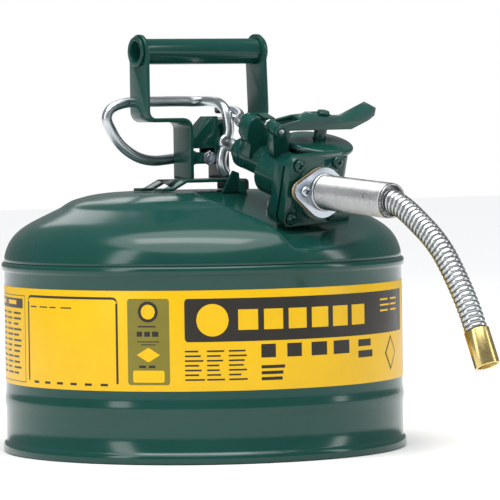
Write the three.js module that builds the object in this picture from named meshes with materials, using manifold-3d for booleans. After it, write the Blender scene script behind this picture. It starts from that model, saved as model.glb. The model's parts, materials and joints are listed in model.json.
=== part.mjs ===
// Safety gas can with a flexible pouring hose: a standalone three.js model, in millimetres, +Z up.
// It is drawn about the can's own axis, with +X along the carrying handle towards its front end and
// -Y the pouring side, where the filler and the spout sit on a slanted flat. The last lines move it
// to the middle of its box.
import * as THREE from 'three';
import { mergeVertices } from 'three/addons/utils/BufferGeometryUtils.js';
import Module from 'manifold-3d';

const wasm = await Module();
wasm.setup();

// ---------------------------------------------------------------- driving dimensions
const GAP = 0.3; // clearance between pieces that sit against each other

// can
const wallR = 147.2; // outside radius of the can's wall
const sheet = 1.2; // wall of the can's shells
const chimeR = wallR + 2.4; // outside radius of the rolled foot
const chimeH = 8; // height of the rolled foot
const swageZ = 39; // middle of the shallow bead low on the wall
const seamLowZ = 134; // underside of the seam bead below the dome; the height of the wall
const seamTopZ = seamLowZ + 6.2; // top of the seam bead
const seamR = wallR + 2.1; // outside radius of the seam bead
const labelLowZ = 52.1;
const labelTopZ = 123.4;
const labelSkin = 0.35; // thickness of the label band
const plateauZ = seamTopZ + 50.5; // height of the dome's flat middle
const domeSides = 40; // facets round the can

// slanted flat on the dome
const flatStartY = -18; // where the slanted flat leaves the plateau
const flatTilt = 17.5; // degrees, falling towards -Y

// carrying handle
const strapW = 25.4; // width of the handle's flat bar
const strapT = 3; // thickness of the flat bar
const strapX = 51.3; // middle of the rear upright from the can's axis
const frontTopX = 48.7; // middle of the front upright at the grip; it leans out a little
const frontLowX = 50.2; // middle of the front upright at its lower bend
const legX = 15; // middle of each lower leg from the can's axis
const stepZ = plateauZ + 52.5; // middle of the bars' level step
const bendR = 5; // inside radius of the bars' bends
const gripZ = plateauZ + 103; // height of the grip's axis
const gripR = 9.5; // outside radius of the grip tube
const gripWall = 1.6;
const gripPoke = 2.4; // how far the grip's rims stand out of the bars
const bridgeTopZ = plateauZ + 8.5; // top of the bridge under the handle
const bridgeT = 2.2;
const bridgeHalfW = 21.75;
const bridgeRearX = -25;
const bridgeFrontX = 27;

// trigger
const rodR = 3.85; // radius of the trigger's steel rod
const farY = 17.5; // plane of the finger loop, past the handle's far edge
const nearY = -18.5; // plane of the arm on the near side
const pivotX = 10.6;
const pivotZ = plateauZ + 35.2;
const pinR = 2.4; // radius of the trigger's pivot pin
const cheekY = 8.2; // middle of each cheek of the trigger's channel
const cheekT = 2.2;
const lugY = 11.2; // middle of each lug that carries the pin
const lugT = 2.2;

// manifold casting, in the slanted flat's own frame: x, s downhill, h above the flat
const neckR = 22.5;
const fillX = 26.7 + neckR; // the neck stands clear of the lever's hinge
const fillS = 54.3;
const neckBore = 18.5;
const lidR = neckR + 3.1;
const lidH = 50; // underside of the lid
const lidT = 4.6;
const hingeX = 11.5;
const hingeH = 64.5;
const hingePinR = 2.1;
const leverHalfW = 8;
const armT = 2.8;
const webH = 69.5; // underside of the lever's top web
const hubH = 75; // top of the lever's hub
const postR = 4.7;
const reliefTravel = 1.8; // how far the lid may lift against its spring

// pour valve: a shaft in line with the trigger's pin end, square to the cover plate
const shaftR = 3;
const bossR = 15;
const valveNeckR = 12;
const bonnetR = 10.5;
const bossBack = 58; // distances along the shaft from the trigger's pin
const neckBack = 27;
const shaftEnd = 67;
const poppetR = 12.5;

// cover plate and spout
const spoutYaw = -79; // degrees from +X
const spoutPitch = 4.6; // degrees below level
const plateX = 27.4;
const plateS = 87.4;
const plateH = 29.6;
const plateSide = 53;
const plateT = 6;
const plateCorner = 8;
const screwHalfU = 18.8; // half the spacing of the cover's screws, across and up
const screwHalfV = 19.9;
const seatH = 10.2; // the flange's middle in front of the plate's middle
const coverScrewR = 4.6;
const flangeHalfL = 28; // half the flange's length, corner to corner
const flangeHalfW = 18.2;
const flangeT = 2.4;
const gasketT = 1.6;
const flangeScrewOff = 19.5; // from the flange's middle to each screw
const barrelR = 12.7;
const barrelWall = 1.4;
const barrelL = 71;
const hoseR = 8.3;
const ferruleR = 9;
const ferruleL = 27;

// ---------------------------------------------------------------- materials
const paint = (name, color, roughness, metalness) =>
  Object.assign(new THREE.MeshStandardMaterial({ color, roughness, metalness }), { name });
const GREEN = () => paint('green_enamel', 0x235f55, 0.25, 0.1);
const ZINC = () => paint('zinc_plate', 0xc3c9cc, 0.35, 0.9);
const STEEL = () => paint('bare_steel', 0x9a9fa3, 0.4, 0.9);
const BRASS = () => paint('brass', 0xbda050, 0.35, 0.9);
const RUBBER = () => paint('black_rubber', 0x1c1c1c, 0.8, 0);
const FIBRE = () => paint('tan_gasket', 0xc9a06e, 0.9, 0);
const YELLOW = () => paint('label_yellow', 0xf0be10, 0.4, 0);

const can = new THREE.Group();
const V = (x, y, z) => new THREE.Vector3(x, y, z);
const rad = THREE.MathUtils.degToRad;

// ---------------------------------------------------------------- shape helpers
// A closed geometry made into a solid that can be cut and joined.
function solid(geometry) {
  const g = geometry.clone();
  g.deleteAttribute('normal');
  g.deleteAttribute('uv');
  const m = mergeVertices(g, 1e-4);
  return new wasm.Manifold(
    new wasm.Mesh({
      numProp: 3,
      vertProperties: new Float32Array(m.attributes.position.array),
      triVerts: new Uint32Array(m.index.array),
    })
  );
}

// The geometry of a cut or joined solid.
function geometryOf(body) {
  const m = body.getMesh();
  const g = new THREE.BufferGeometry();
  const p = new Float32Array(m.numVert * 3);
  for (let i = 0; i < m.numVert; i += 1) {
    for (let k = 0; k < 3; k += 1) p[3 * i + k] = m.vertProperties[m.numProp * i + k];
  }
  g.setAttribute('position', new THREE.BufferAttribute(p, 3));
  g.setIndex(new THREE.BufferAttribute(new Uint32Array(m.triVerts), 1));
  g.computeVertexNormals();
  return g;
}

function add(name, shape, material) {
  const geometry = shape instanceof THREE.BufferGeometry ? shape : geometryOf(shape);
  const mesh = new THREE.Mesh(geometry, material);
  mesh.name = name;
  can.add(mesh);
  return mesh;
}

// A body of revolution about +Z from a closed outline of [radius, height] points.
function turned(outline, sides) {
  const points = outline.map(([r, z]) => new THREE.Vector2(r, z));
  points.push(points[0].clone());
  const g = new THREE.LatheGeometry(points, sides);
  g.rotateX(Math.PI / 2);
  const body = solid(g);
  if (body.volume() > 0) return body;
  const flipped = g.clone();
  const order = flipped.index.array;
  for (let i = 0; i < order.length; i += 3) [order[i + 1], order[i + 2]] = [order[i + 2], order[i + 1]];
  return solid(flipped);
}

// A matrix that stands +Z along a direction at a place.
function stand(place, direction) {
  const turn = new THREE.Quaternion().setFromUnitVectors(V(0, 0, 1), direction.clone().normalize());
  return new THREE.Matrix4().compose(place, turn, V(1, 1, 1));
}
const put = (body, matrix) => body.transform(matrix.elements);

// A round bar, or a tube when a bore is given, between two points.
function bar(from, to, r, bore = 0, sides = 16) {
  const along = to.clone().sub(from);
  const length = along.length();
  const outline = bore
    ? [[bore, 0], [r, 0], [r, length], [bore, length]]
    : [[0, 0], [r, 0], [r, length], [0, length]];
  return put(turned(outline, sides), stand(from, along));
}

// A flat outline of [x, y] points raised from z0 to z1.
function slab(outline, z0, z1, holes = []) {
  const shape = outline instanceof THREE.Shape ? outline
    : new THREE.Shape(outline.map(([x, y]) => new THREE.Vector2(x, y)));
  for (const hole of holes) shape.holes.push(hole);
  const g = new THREE.ExtrudeGeometry(shape, { depth: z1 - z0, bevelEnabled: false, curveSegments: 4 });
  g.translate(0, 0, z0);
  return solid(g);
}

function block(x0, x1, y0, y1, z0, z1) {
  const g = new THREE.BoxGeometry(x1 - x0, y1 - y0, z1 - z0);
  g.translate((x0 + x1) / 2, (y0 + y1) / 2, (z0 + z1) / 2);
  return solid(g);
}

// A rectangle with round corners, centred.
function roundRect(w, h, r) {
  const s = new THREE.Shape();
  s.moveTo(-w / 2 + r, -h / 2);
  s.lineTo(w / 2 - r, -h / 2).absarc(w / 2 - r, -h / 2 + r, r, -Math.PI / 2, 0);
  s.lineTo(w / 2, h / 2 - r).absarc(w / 2 - r, h / 2 - r, r, 0, Math.PI / 2);
  s.lineTo(-w / 2 + r, h / 2).absarc(-w / 2 + r, h / 2 - r, r, Math.PI / 2, Math.PI);
  s.lineTo(-w / 2, -h / 2 + r).absarc(-w / 2 + r, -h / 2 + r, r, Math.PI, 1.5 * Math.PI);
  return s;
}

// A round rod along a smooth curve through points.
function rod(points, r, steps, sides = 10) {
  const path = new THREE.CatmullRomCurve3(points.map((p) => V(...p)), false, 'centripetal');
  const section = new THREE.Shape();
  for (let i = 0; i < sides; i += 1) {
    const a = (2 * Math.PI * i) / sides;
    if (i === 0) section.moveTo(r * Math.cos(a), r * Math.sin(a));
    else section.lineTo(r * Math.cos(a), r * Math.sin(a));
  }
  return new THREE.ExtrudeGeometry(section, { steps, bevelEnabled: false, extrudePath: path });
}

// A flat bar bent in the XZ plane: its middle line with rounded bends, as wide as asked along Y.
function bentBar(corners, thick, radius, width) {
  const half = thick / 2;
  const line = corners.map(([x, z]) => new THREE.Vector2(x, z));
  const sides = [[], []];
  line.forEach((p, i) => {
    const before = i > 0 ? p.clone().sub(line[i - 1]).normalize() : null;
    const after = i < line.length - 1 ? line[i + 1].clone().sub(p).normalize() : null;
    const normal = (d) => new THREE.Vector2(-d.y, d.x);
    if (!before || !after) {
      const n = normal(before || after);
      sides[0].push(p.clone().addScaledVector(n, half));
      sides[1].push(p.clone().addScaledVector(n, -half));
      return;
    }
    const turn = Math.atan2(before.x * after.y - before.y * after.x, before.dot(after));
    const mid = radius + half;
    const back = mid * Math.tan(Math.abs(turn) / 2);
    const start = p.clone().addScaledVector(before, -back);
    const centre = start.clone().addScaledVector(normal(before), Math.sign(turn) * mid);
    const lean = Math.sign(turn) * half;
    const steps = 5;
    for (let k = 0; k <= steps; k += 1) {
      const spoke = start.clone().sub(centre).rotateAround(new THREE.Vector2(), (turn * k) / steps);
      spoke.normalize();
      sides[0].push(centre.clone().addScaledVector(spoke, mid - lean));
      sides[1].push(centre.clone().addScaledVector(spoke, mid + lean));
    }
  });
  const outline = [...sides[0], ...sides[1].reverse()].map((p) => [p.x, p.y]);
  const raised = slab(outline, -width / 2, width / 2);
  return put(raised, new THREE.Matrix4().makeRotationX(Math.PI / 2));
}

// ---------------------------------------------------------------- the slanted flat's frame
const tilt = rad(flatTilt);
const flatOrigin = V(0, flatStartY, plateauZ);
const downhill = V(0, -Math.cos(tilt), -Math.sin(tilt));
const flatUp = V(0, -Math.sin(tilt), Math.cos(tilt));
const onFlat = (x, s, h) =>
  flatOrigin.clone().addScaledVector(V(1, 0, 0), x).addScaledVector(downhill, s).addScaledVector(flatUp, h);
// Local x, y, z of the casting become x, uphill and height above the flat.
const flatFrame = new THREE.Matrix4().makeBasis(V(1, 0, 0), downhill.clone().negate(), flatUp).setPosition(flatOrigin);
const flatPut = (body) => put(body, flatFrame);

// ---------------------------------------------------------------- can shell
function canBody() {
  const inner = wallR - sheet;
  return turned(
    [
      [inner + 0.4, 0], [chimeR - 1, 0], [chimeR, 2], [chimeR, chimeH - 1.4], [wallR, chimeH + 0.6],
      [wallR, swageZ - 6.5], [wallR + 0.9, swageZ - 2.5], [wallR + 0.9, swageZ + 2.5], [wallR, swageZ + 6.5],
      [wallR, seamLowZ], [seamR, seamLowZ + 1.2], [seamR, seamTopZ - 0.8], [seamR - 0.8, seamTopZ],
      [inner, seamTopZ], [inner, 1.2],
    ],
    domeSides
  );
}

function bottomPan() {
  const r = wallR - sheet - 0.4;
  return turned(
    [
      [0, 6.5], [112, 6.5], [122, 4.5], [r - 1.2, 4.5], [r - 1.2, 12], [r, 12], [r, 3.3],
      [122, 3.3], [112, 5.3], [0, 5.3],
    ],
    domeSides
  );
}

const domeOutline = [
  [wallR + 0.1, seamTopZ + GAP], [wallR - 0.3, plateauZ - 45.7], [wallR - 2.3, plateauZ - 39.5],
  [wallR - 6, plateauZ - 33.2], [wallR - 13, plateauZ - 26.4], [wallR - 25.2, plateauZ - 19.3],
  [wallR - 37.4, plateauZ - 13.5], [wallR - 43.2, plateauZ - 10.2], [wallR - 51.7, plateauZ - 5.8],
  [wallR - 63.2, plateauZ - 2.6], [wallR - 81.2, plateauZ - 0.5], [wallR - 107.2, plateauZ],
];

// Plan of the pressed flat, as [x, y] corners; it runs out past the dome's edge.
const flatPlan = [
  [-14, flatStartY + 8], [-31, -66], [-31, -83], [-20, -101], [-9, -126], [-8, -wallR - 17.8],
  [78, -wallR - 17.8], [79, -126], [90, -101], [99, -83], [99, -66], [82, flatStartY + 8],
];

// Everything above the slanted flat, sunk and widened by a wall's thickness for the inside.
function pressedSpace(sink) {
  const middle = new THREE.Vector2(34, -75);
  const grow = (p) => {
    const v = new THREE.Vector2(...p).sub(middle);
    return v.multiplyScalar((v.length() + sink) / v.length()).add(middle).toArray();
  };
  const column = slab(flatPlan.map(grow), 100, 240);
  const above = put(block(-200, 200, -220, 80, -sink, 160), flatFrame);
  return column.intersect(above);
}

function domeTop() {
  const outer = turned([[0, seamTopZ + GAP], ...domeOutline, [0, plateauZ]], domeSides);
  const inside = domeOutline.map(([r, z]) => [r - sheet * (z < 165 ? 1 : 0.5), z - sheet * (z < 150 ? 0 : 1)]);
  const inner = turned([[0, 120], [wallR - sheet + 0.1, 120], ...inside, [0, plateauZ - sheet]], domeSides);
  const shell = outer.subtract(pressedSpace(0)).subtract(inner.subtract(pressedSpace(sheet)));
  const skirtR = wallR - sheet - 0.4;
  const skirt = turned(
    [
      [skirtR - sheet, 127], [skirtR, 127], [skirtR, seamTopZ + GAP], [wallR, seamTopZ + GAP],
      [wallR - 0.1, seamTopZ + 1.8], [skirtR - sheet, seamTopZ + 1.8],
    ],
    domeSides
  );
  const hole = bar(onFlat(fillX, fillS, -30), onFlat(fillX, fillS, 30), neckR - 3, 0, 28);
  return shell.add(skirt).subtract(hole);
}

add('can_body_shell', canBody(), GREEN());
add('bottom_pan', bottomPan(), GREEN());
add('dome_top', domeTop(), GREEN());
add(
  'label_band',
  turned(
    [
      [wallR + GAP, labelLowZ], [wallR + GAP + labelSkin, labelLowZ],
      [wallR + GAP + labelSkin, labelTopZ], [wallR + GAP, labelTopZ],
    ],
    domeSides
  ),
  YELLOW()
);

// ---------------------------------------------------------------- carrying handle
function gripHole(x) {
  return bar(V(x - 6, 0, gripZ), V(x + 6, 0, gripZ), gripR + GAP, 0, 24);
}

// The flat bar: a round head on the grip, an upright, a level step inwards and a leg to the bridge.
function handleStrap(side, topX, lowX) {
  const top = gripZ - strapW / 2;
  const foot = bridgeTopZ + GAP;
  const line = [[side * topX, top + 8], [side * lowX, stepZ], [side * legX, stepZ], [side * legX, foot]];
  const lower = bentBar(line, strapT, bendR, strapW);
  const x0 = side * topX - strapT / 2;
  const x1 = side * topX + strapT / 2;
  const head = bar(V(x0, 0, gripZ), V(x1, 0, gripZ), strapW / 2, 0, 28);
  const shank = block(x0, x1, -strapW / 2, strapW / 2, top + 6, gripZ);
  return lower.add(shank).add(head).subtract(gripHole(side * topX));
}
add('rear_handle_strap', handleStrap(-1, strapX, strapX), GREEN());
add('front_handle_strap', handleStrap(1, frontTopX, frontLowX), GREEN());

// The grip: a tube with a rolled rim standing out past each bar.
function gripTube() {
  const rear = -strapX - strapT / 2;
  const front = frontTopX + strapT / 2;
  const rimR = gripR + 1.6;
  const bore = gripR - gripWall;
  return bar(V(rear - gripPoke, 0, gripZ), V(front + gripPoke, 0, gripZ), gripR, bore, 24)
    .add(bar(V(rear - gripPoke, 0, gripZ), V(rear - 0.6, 0, gripZ), rimR, bore, 24))
    .add(bar(V(front + 0.6, 0, gripZ), V(front + gripPoke, 0, gripZ), rimR, bore, 24));
}
add('grip_tube', gripTube(), GREEN());

// The sheet bridge that lifts the handle's legs off the dome, on legs at both ends.
function handleBridge() {
  const footZ = plateauZ + GAP;
  const lineUp = [
    [bridgeRearX - 21, footZ + bridgeT / 2], [bridgeRearX - 12, footZ + bridgeT / 2],
    [bridgeRearX, bridgeTopZ - bridgeT / 2], [bridgeFrontX, bridgeTopZ - bridgeT / 2],
    [bridgeFrontX, footZ],
  ];
  const strap = bentBar(lineUp, bridgeT, 0.8, 2 * bridgeHalfW);
  const rearWindow = block(bridgeRearX - 30, bridgeRearX - 1, -8.8, 8.8, 180, 210);
  const sideWindow = block(bridgeRearX + 5, bridgeFrontX - 6, -40, 40, 185, bridgeTopZ - bridgeT);
  return strap.subtract(rearWindow).subtract(sideWindow);
}
add('handle_bridge', handleBridge(), GREEN());

// ---------------------------------------------------------------- trigger bracket and pivot
const blockTopZ = 219;
const blockLowZ = 210.5;
const legInner = legX - strapT / 2 - GAP;

// A U-shaped bracket between the handle's legs, with two lugs that carry the trigger's pin.
function pivotBracket() {
  const wide = 9.6;
  const box = block(-legInner, legInner, -wide, wide, blockLowZ, blockTopZ);
  const hollow = block(-legInner - 1, legInner - 2, -wide + 2.2, wide - 2.2, blockLowZ - 1, blockTopZ - 2.2);
  const lug = (side) => {
    const y = side * lugY;
    return block(pivotX - 5, legInner, y - lugT / 2, y + lugT / 2, blockLowZ, pivotZ)
      .add(bar(V(pivotX - 1.2, y - lugT / 2, pivotZ), V(pivotX - 1.2, y + lugT / 2, pivotZ), 3.8, 0, 18))
      .add(block(pivotX - 5, legInner, Math.min(y, side * wide), Math.max(y, side * wide),
        blockLowZ, blockTopZ));
  };
  const hole = bar(V(pivotX, -30, pivotZ), V(pivotX, 30, pivotZ), pinR + GAP, 0, 18);
  const boltHole = bar(V(0, -30, 214.8), V(0, 30, 214.8), 3.3, 0, 16);
  return box.subtract(hollow).add(lug(-1)).add(lug(1)).subtract(hole).subtract(boltHole);
}
add('trigger_bracket', pivotBracket(), GREEN());

function bracketBolt() {
  const shank = bar(V(0, -13.5, 214.8), V(0, 13, 214.8), 3, 0, 16);
  const head = bar(V(0, 9.9, 214.8), V(0, 13, 214.8), 5.4, 0, 6);
  return shank.add(head);
}
add('bracket_bolt', bracketBolt(), ZINC());
const nut = bar(V(0, -9.9, 214.8), V(0, -13.2, 214.8), 5.4, 0, 6)
  .subtract(bar(V(0, -20, 214.8), V(0, 0, 214.8), 3.3, 0, 16));
add('bracket_nut', nut, ZINC());

// The pin turns with the trigger; a flat tongue on its near end drives the valve shaft.
const pinEndY = nearY - 4.6;
function pivotPin() {
  const shank = bar(V(pivotX, pinEndY, pivotZ), V(pivotX, lugY + 3.6, pivotZ), pinR, 0, 18);
  const head = bar(V(pivotX, lugY + 1.9, pivotZ), V(pivotX, lugY + 3.6, pivotZ), 3.6, 0, 18);
  const tongue = block(pivotX - 0.8, pivotX + 0.8, pinEndY - 3.2, pinEndY + 0.1, pivotZ - 2, pivotZ + 2);
  const cotterHole = bar(V(pivotX - 5, nearY - 3.4, pivotZ), V(pivotX + 5, nearY - 3.4, pivotZ), 1.05, 0, 10);
  return shank.add(head).add(tongue).subtract(cotterHole);
}
add('trigger_pivot_pin', pivotPin(), ZINC());
add(
  'trigger_cotter',
  rod([[pivotX - 5.4, nearY - 3.4, pivotZ + 2], [pivotX - 3.2, nearY - 3.4, pivotZ],
    [pivotX + 3.2, nearY - 3.4, pivotZ], [pivotX + 5, nearY - 3.4, pivotZ - 1.4]], 0.55, 8, 6),
  ZINC()
);

// ---------------------------------------------------------------- trigger
const loop = [
  [-9, farY, 215], [-20, farY, 213.8], [-32.6, farY, 213.3], [-45.3, farY, 216.5], [-58.7, farY, 225.6],
  [-66.3, farY, 236.4], [-69.8, farY, 245], [-66.6, farY, 251.6], [-58.2, farY, 255.4],
  [-46, farY, 256.9], [-28, farY, 256.9], [-8, farY, 256.9], [3, farY - 0.5, 256.6],
];
const crossing = [[9, farY - 5.5, 256.8], [11.4, 4, 256.6], [12, -8, 254.6], [12.4, nearY + 3, 249.4]];
const nearArm = [
  [13.2, nearY + 0.2, 240], [13.2, nearY, 233.6], [pivotX, nearY, pivotZ], [7.6, nearY, 219],
  [6.4, nearY, 212.4], [7.6, nearY, 207], [10.4, nearY, 203.4],
];

function triggerBail() {
  const body = solid(rod([...loop, ...crossing, ...nearArm], rodR, 52, 8));
  const eye = bar(V(pivotX, nearY - 2.6, pivotZ), V(pivotX, nearY + 2.6, pivotZ), 5.4, 0, 18);
  const flats = block(pivotX - 7, pivotX + 7, nearY - 6, nearY - 2.6, pivotZ - 5, pivotZ + 5)
    .add(block(pivotX - 7, pivotX + 7, nearY + 2.6, nearY + 6, pivotZ - 5, pivotZ + 5));
  const hole = bar(V(pivotX, nearY - 9, pivotZ), V(pivotX, nearY + 9, pivotZ), pinR + GAP, 0, 18);
  return body.subtract(flats).add(eye).subtract(hole);
}
add('trigger_bail', triggerBail(), ZINC());

// A pressed channel that stiffens the trigger: two cheeks joined by a web along the slanting edge.
function triggerChannel() {
  const plan = [[-11.2, 222], [-11.2, 229.6], [5, 245.6], [9, 245.6], [11.7, 231], [12.2, 222]];
  const outer = slab(plan, -cheekY - cheekT / 2, cheekY + cheekT / 2);
  const core = [[-30, 215], [-30, 228.2], [-10.4, 227.6], [5.6, 243.7], [25, 243.9], [25, 215]];
  const inner = slab(core, -cheekY + cheekT / 2, cheekY - cheekT / 2);
  const upright = new THREE.Matrix4().makeRotationX(Math.PI / 2);
  const hole = bar(V(pivotX, -30, pivotZ), V(pivotX, 30, pivotZ), pinR + GAP, 0, 18);
  return put(outer, upright).subtract(put(inner, upright)).subtract(hole);
}
add('trigger_channel', triggerChannel(), GREEN());

// A bent finger on the trigger that reaches the vent button on the casting.
const ventRodR = 2.9;
const ventFinger = [
  [16, 4, 250.4], [20, -4, 250.4], [20, -13, 250.2], [18, -25, 248.2], [13, -36, 245.4], [6.6, -42.5, 242.8],
  [5.2, -46, 241.2], [5, -51, 239],
];
add('vent_finger', rod(ventFinger, ventRodR, 12, 8), ZINC());

// ---------------------------------------------------------------- manifold casting
const spoutDir = V(Math.cos(rad(spoutYaw)), Math.sin(rad(spoutYaw)), 0);
const spoutAxis = spoutDir.clone().multiplyScalar(Math.cos(rad(spoutPitch))).setZ(-Math.sin(rad(spoutPitch)));
// The cover plate stands square to the flat, turned to the spout's side.
const plateNormal = V(1, 0, 0).multiplyScalar(Math.cos(rad(spoutYaw)))
  .addScaledVector(downhill, -Math.sin(rad(spoutYaw)));
const plateRight = new THREE.Vector3().crossVectors(flatUp, plateNormal);
const plateFrame = new THREE.Matrix4().makeBasis(plateRight, flatUp, plateNormal)
  .setPosition(onFlat(plateX, plateS, plateH));
const platePut = (body) => put(body, plateFrame);
const onPlate = (u, v, w) => V(u, v, w).applyMatrix4(plateFrame);
// Places along the valve's shaft, counted from the trigger's pin towards the cover plate.
const shaftAt = (u) => V(pivotX, nearY, pivotZ).addScaledVector(plateNormal, u);

const hoodX0 = 0.5; // the vent's hood over the valve's neck
const hoodX1 = 22.5;
const hoodS0 = 20.5;
const hoodS1 = 34;
const hoodTopH = 66.5;
const ventS = 14; // the vent button's bore, in a lug behind the hood
const ventH = 56;
const ventLugX = 15.6;

// The hood: a block with a large round on its rear top edge, standing on the valve's neck.
function hoodShape() {
  const r = 7;
  const s = new THREE.Shape();
  s.moveTo(hoodX0 + 4, 36);
  s.lineTo(hoodX1 - 1, 36);
  s.lineTo(hoodX1, 56);
  s.lineTo(hoodX1 - 1, hoodTopH);
  s.lineTo(hoodX0 + r, hoodTopH).absarc(hoodX0 + r, hoodTopH - r, r, Math.PI / 2, Math.PI);
  s.lineTo(hoodX0, 52);
  s.lineTo(hoodX0 + 4, 46);
  return put(slab(s, hoodS0, hoodS1), new THREE.Matrix4().makeRotationX(Math.PI / 2));
}

function manifoldCasting() {
  const atFill = (h) => onFlat(fillX, fillS, h);
  let body = bar(atFill(GAP), atFill(5.5), neckR + 8, 0, 30);
  body = body.add(bar(atFill(4), atFill(lidH - 2.2), neckR, 0, 30));
  // pour chamber behind the cover plate, and its passage back into the neck
  const back = -plateT / 2 - gasketT - 2 * GAP;
  body = body.add(platePut(slab(roundRect(plateSide - 6, 36, 10), -15, back)));
  const rim = slab(roundRect(plateSide, plateSide, plateCorner), back - 8, back);
  body = body.add(platePut(rim.intersect(block(-40, 40, -40, 17.6, -40, 0))));
  body = body.add(bar(onPlate(0, 0, -44), onPlate(0, 0, -14), 17, 0, 28));
  // valve boss and the neck that carries the bonnet and the hood
  body = body.add(bar(shaftAt(bossBack), shaftAt(86), bossR, 0, 30));
  body = body.add(bar(shaftAt(neckBack), shaftAt(bossBack + 1), valveNeckR, 0, 28));
  // room under the lid's rim
  body = body.subtract(bar(atFill(lidH - 2.2), atFill(lidH + 12), lidR + 1.6, 0, 36));
  body = body.add(flatPut(hoodShape()));
  // lug behind the hood for the vent button
  body = body.add(flatPut(block(ventLugX, hoodX1 - 1, -hoodS0 - 1, -ventS + 5, ventH - 6, ventH + 6)));
  body = body.subtract(bar(onFlat(ventLugX - 9, ventS, ventH), onFlat(hoodX1 + 4, ventS, ventH), 2.7, 0, 16));
  // ear between the lever's arms
  const ear = slab([[hingeX - 5, hingeH - 4], [hingeX - 2, 46], [28, 30], [28, 47.5], [21.5, 48.5],
    [21.5, hingeH - 2], [hingeX + 4.5, hingeH]], fillS - 4.4, fillS + 4.4);
  body = body.add(flatPut(put(ear, new THREE.Matrix4().makeRotationX(Math.PI / 2))));
  body = body.add(bar(onFlat(hingeX, fillS - 4.4, hingeH), onFlat(hingeX, fillS + 4.4, hingeH), 4.9, 0, 20));
  // bores
  body = body.subtract(bar(atFill(-8), atFill(lidH + 2), neckBore, 0, 32));
  body = body.subtract(platePut(slab(roundRect(33, 33, 8), -12, 10)));
  body = body.subtract(bar(onPlate(0, 0, -46), onPlate(0, 0, -11), 14.4, 0, 28));
  body = body.subtract(bar(shaftAt(neckBack - 5), shaftAt(86), shaftR + GAP, 0, 18));
  body = body.subtract(bar(shaftAt(neckBack - 5), shaftAt(neckBack + 12), bonnetR - 3, 0, 24));
  body = body.subtract(bar(onFlat(hingeX, fillS - 30, hingeH), onFlat(hingeX, fillS + 30, hingeH),
    hingePinR + GAP, 0, 18));
  return body.subtract(platePut(block(-80, 80, -80, 80, back, 60)));
}
add('manifold_casting', manifoldCasting(), GREEN());

// Support plate under the valve's neck, folded along its upright edge.
function gusset() {
  const face = [[2.6, 0], [19, 0], [17.4, 14.4], [12, 16.2]];
  const upright = put(slab(face, -1, 1), new THREE.Matrix4().makeRotationX(Math.PI / 2));
  const fold = block(17, 19, -9, 1, 0, 9);
  const foot = new THREE.Matrix4().makeTranslation(0, -24.5, plateauZ - 1.5);
  return put(upright.add(fold), foot);
}
add('casting_gusset', gusset(), GREEN());

// ---------------------------------------------------------------- pour valve
function valveBonnet() {
  return bar(shaftAt(neckBack - 6), shaftAt(neckBack - GAP), bonnetR + 1.6, shaftR + GAP, 28)
    .add(bar(shaftAt(neckBack - 1), shaftAt(neckBack + 8), bonnetR - 3 - GAP, shaftR + GAP, 24))
    .add(bar(shaftAt(neckBack - 11.5), shaftAt(neckBack - 5.9), bonnetR - 2, shaftR + GAP, 24));
}
add('valve_bonnet', valveBonnet(), GREEN());
add('bonnet_packing', bar(shaftAt(neckBack + 8 + GAP), shaftAt(neckBack + 11.7), bonnetR - 3 - GAP,
  shaftR + GAP, 24), RUBBER());

// The shaft: a slotted cup on the trigger pin's tongue, and a cam on the inner end.
function valveShaft() {
  const shaft = bar(shaftAt(9), shaftAt(shaftEnd), shaftR, 0, 18);
  const cup = bar(shaftAt(5.6), shaftAt(13.5), 5, 0, 20);
  const slot = block(pivotX - 1.2, pivotX + 2, pinEndY - 4.2, pinEndY + 6, pivotZ - 12, pivotZ + 12);
  const cam = put(slab([[-2.4, 2.4], [2.4, 2.4], [3.2, -6], [1.6, -8], [-1.6, -8], [-3.2, -6]], -1.6, 1.6),
    plateFrame.clone().setPosition(shaftAt(shaftEnd - 1.6)));
  return shaft.add(cup).subtract(slot).add(cam);
}
add('valve_shaft', valveShaft(), STEEL());

const poppetBack = -plateT / 2 - GAP - 2.2 - GAP;
add('valve_seal', bar(onPlate(0, 0, poppetBack + GAP), onPlate(0, 0, -plateT / 2 - GAP), poppetR,
  0, 24), RUBBER());
add('valve_poppet', bar(onPlate(0, 0, poppetBack - 2.4), onPlate(0, 0, poppetBack), poppetR + 0.6, 0, 24)
  .add(bar(onPlate(0, 0, poppetBack - 17), onPlate(0, 0, poppetBack - 2), 2.4, 0, 14)), BRASS());

// An even helical spring between two places.
function springCoil(from, to, radius, wire, turns) {
  const along = to.clone().sub(from);
  const frame = stand(from, along);
  const points = [];
  const count = turns * 8;
  for (let i = 0; i <= count; i += 1) {
    const a = (2 * Math.PI * i) / 8;
    const p = V(radius * Math.cos(a), radius * Math.sin(a), wire + ((along.length() - 2 * wire) * i) / count);
    points.push(p.applyMatrix4(frame).toArray());
  }
  return rod(points, wire, count, 5);
}
add('valve_spring', springCoil(onPlate(0, 0, poppetBack - 2.4 - GAP), onPlate(0, 0, poppetBack - 12.4), 4.6,
  0.7, 3), STEEL());

// ---------------------------------------------------------------- vent
add(
  'vent_button',
  bar(onFlat(ventLugX - 5, ventS, ventH), onFlat(ventLugX + 4, ventS, ventH), 2.4, 0, 16)
    .add(bar(onFlat(ventLugX - 6.3, ventS, ventH), onFlat(ventLugX - 3.9, ventS, ventH), 4, 0, 18)),
  BRASS()
);

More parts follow.
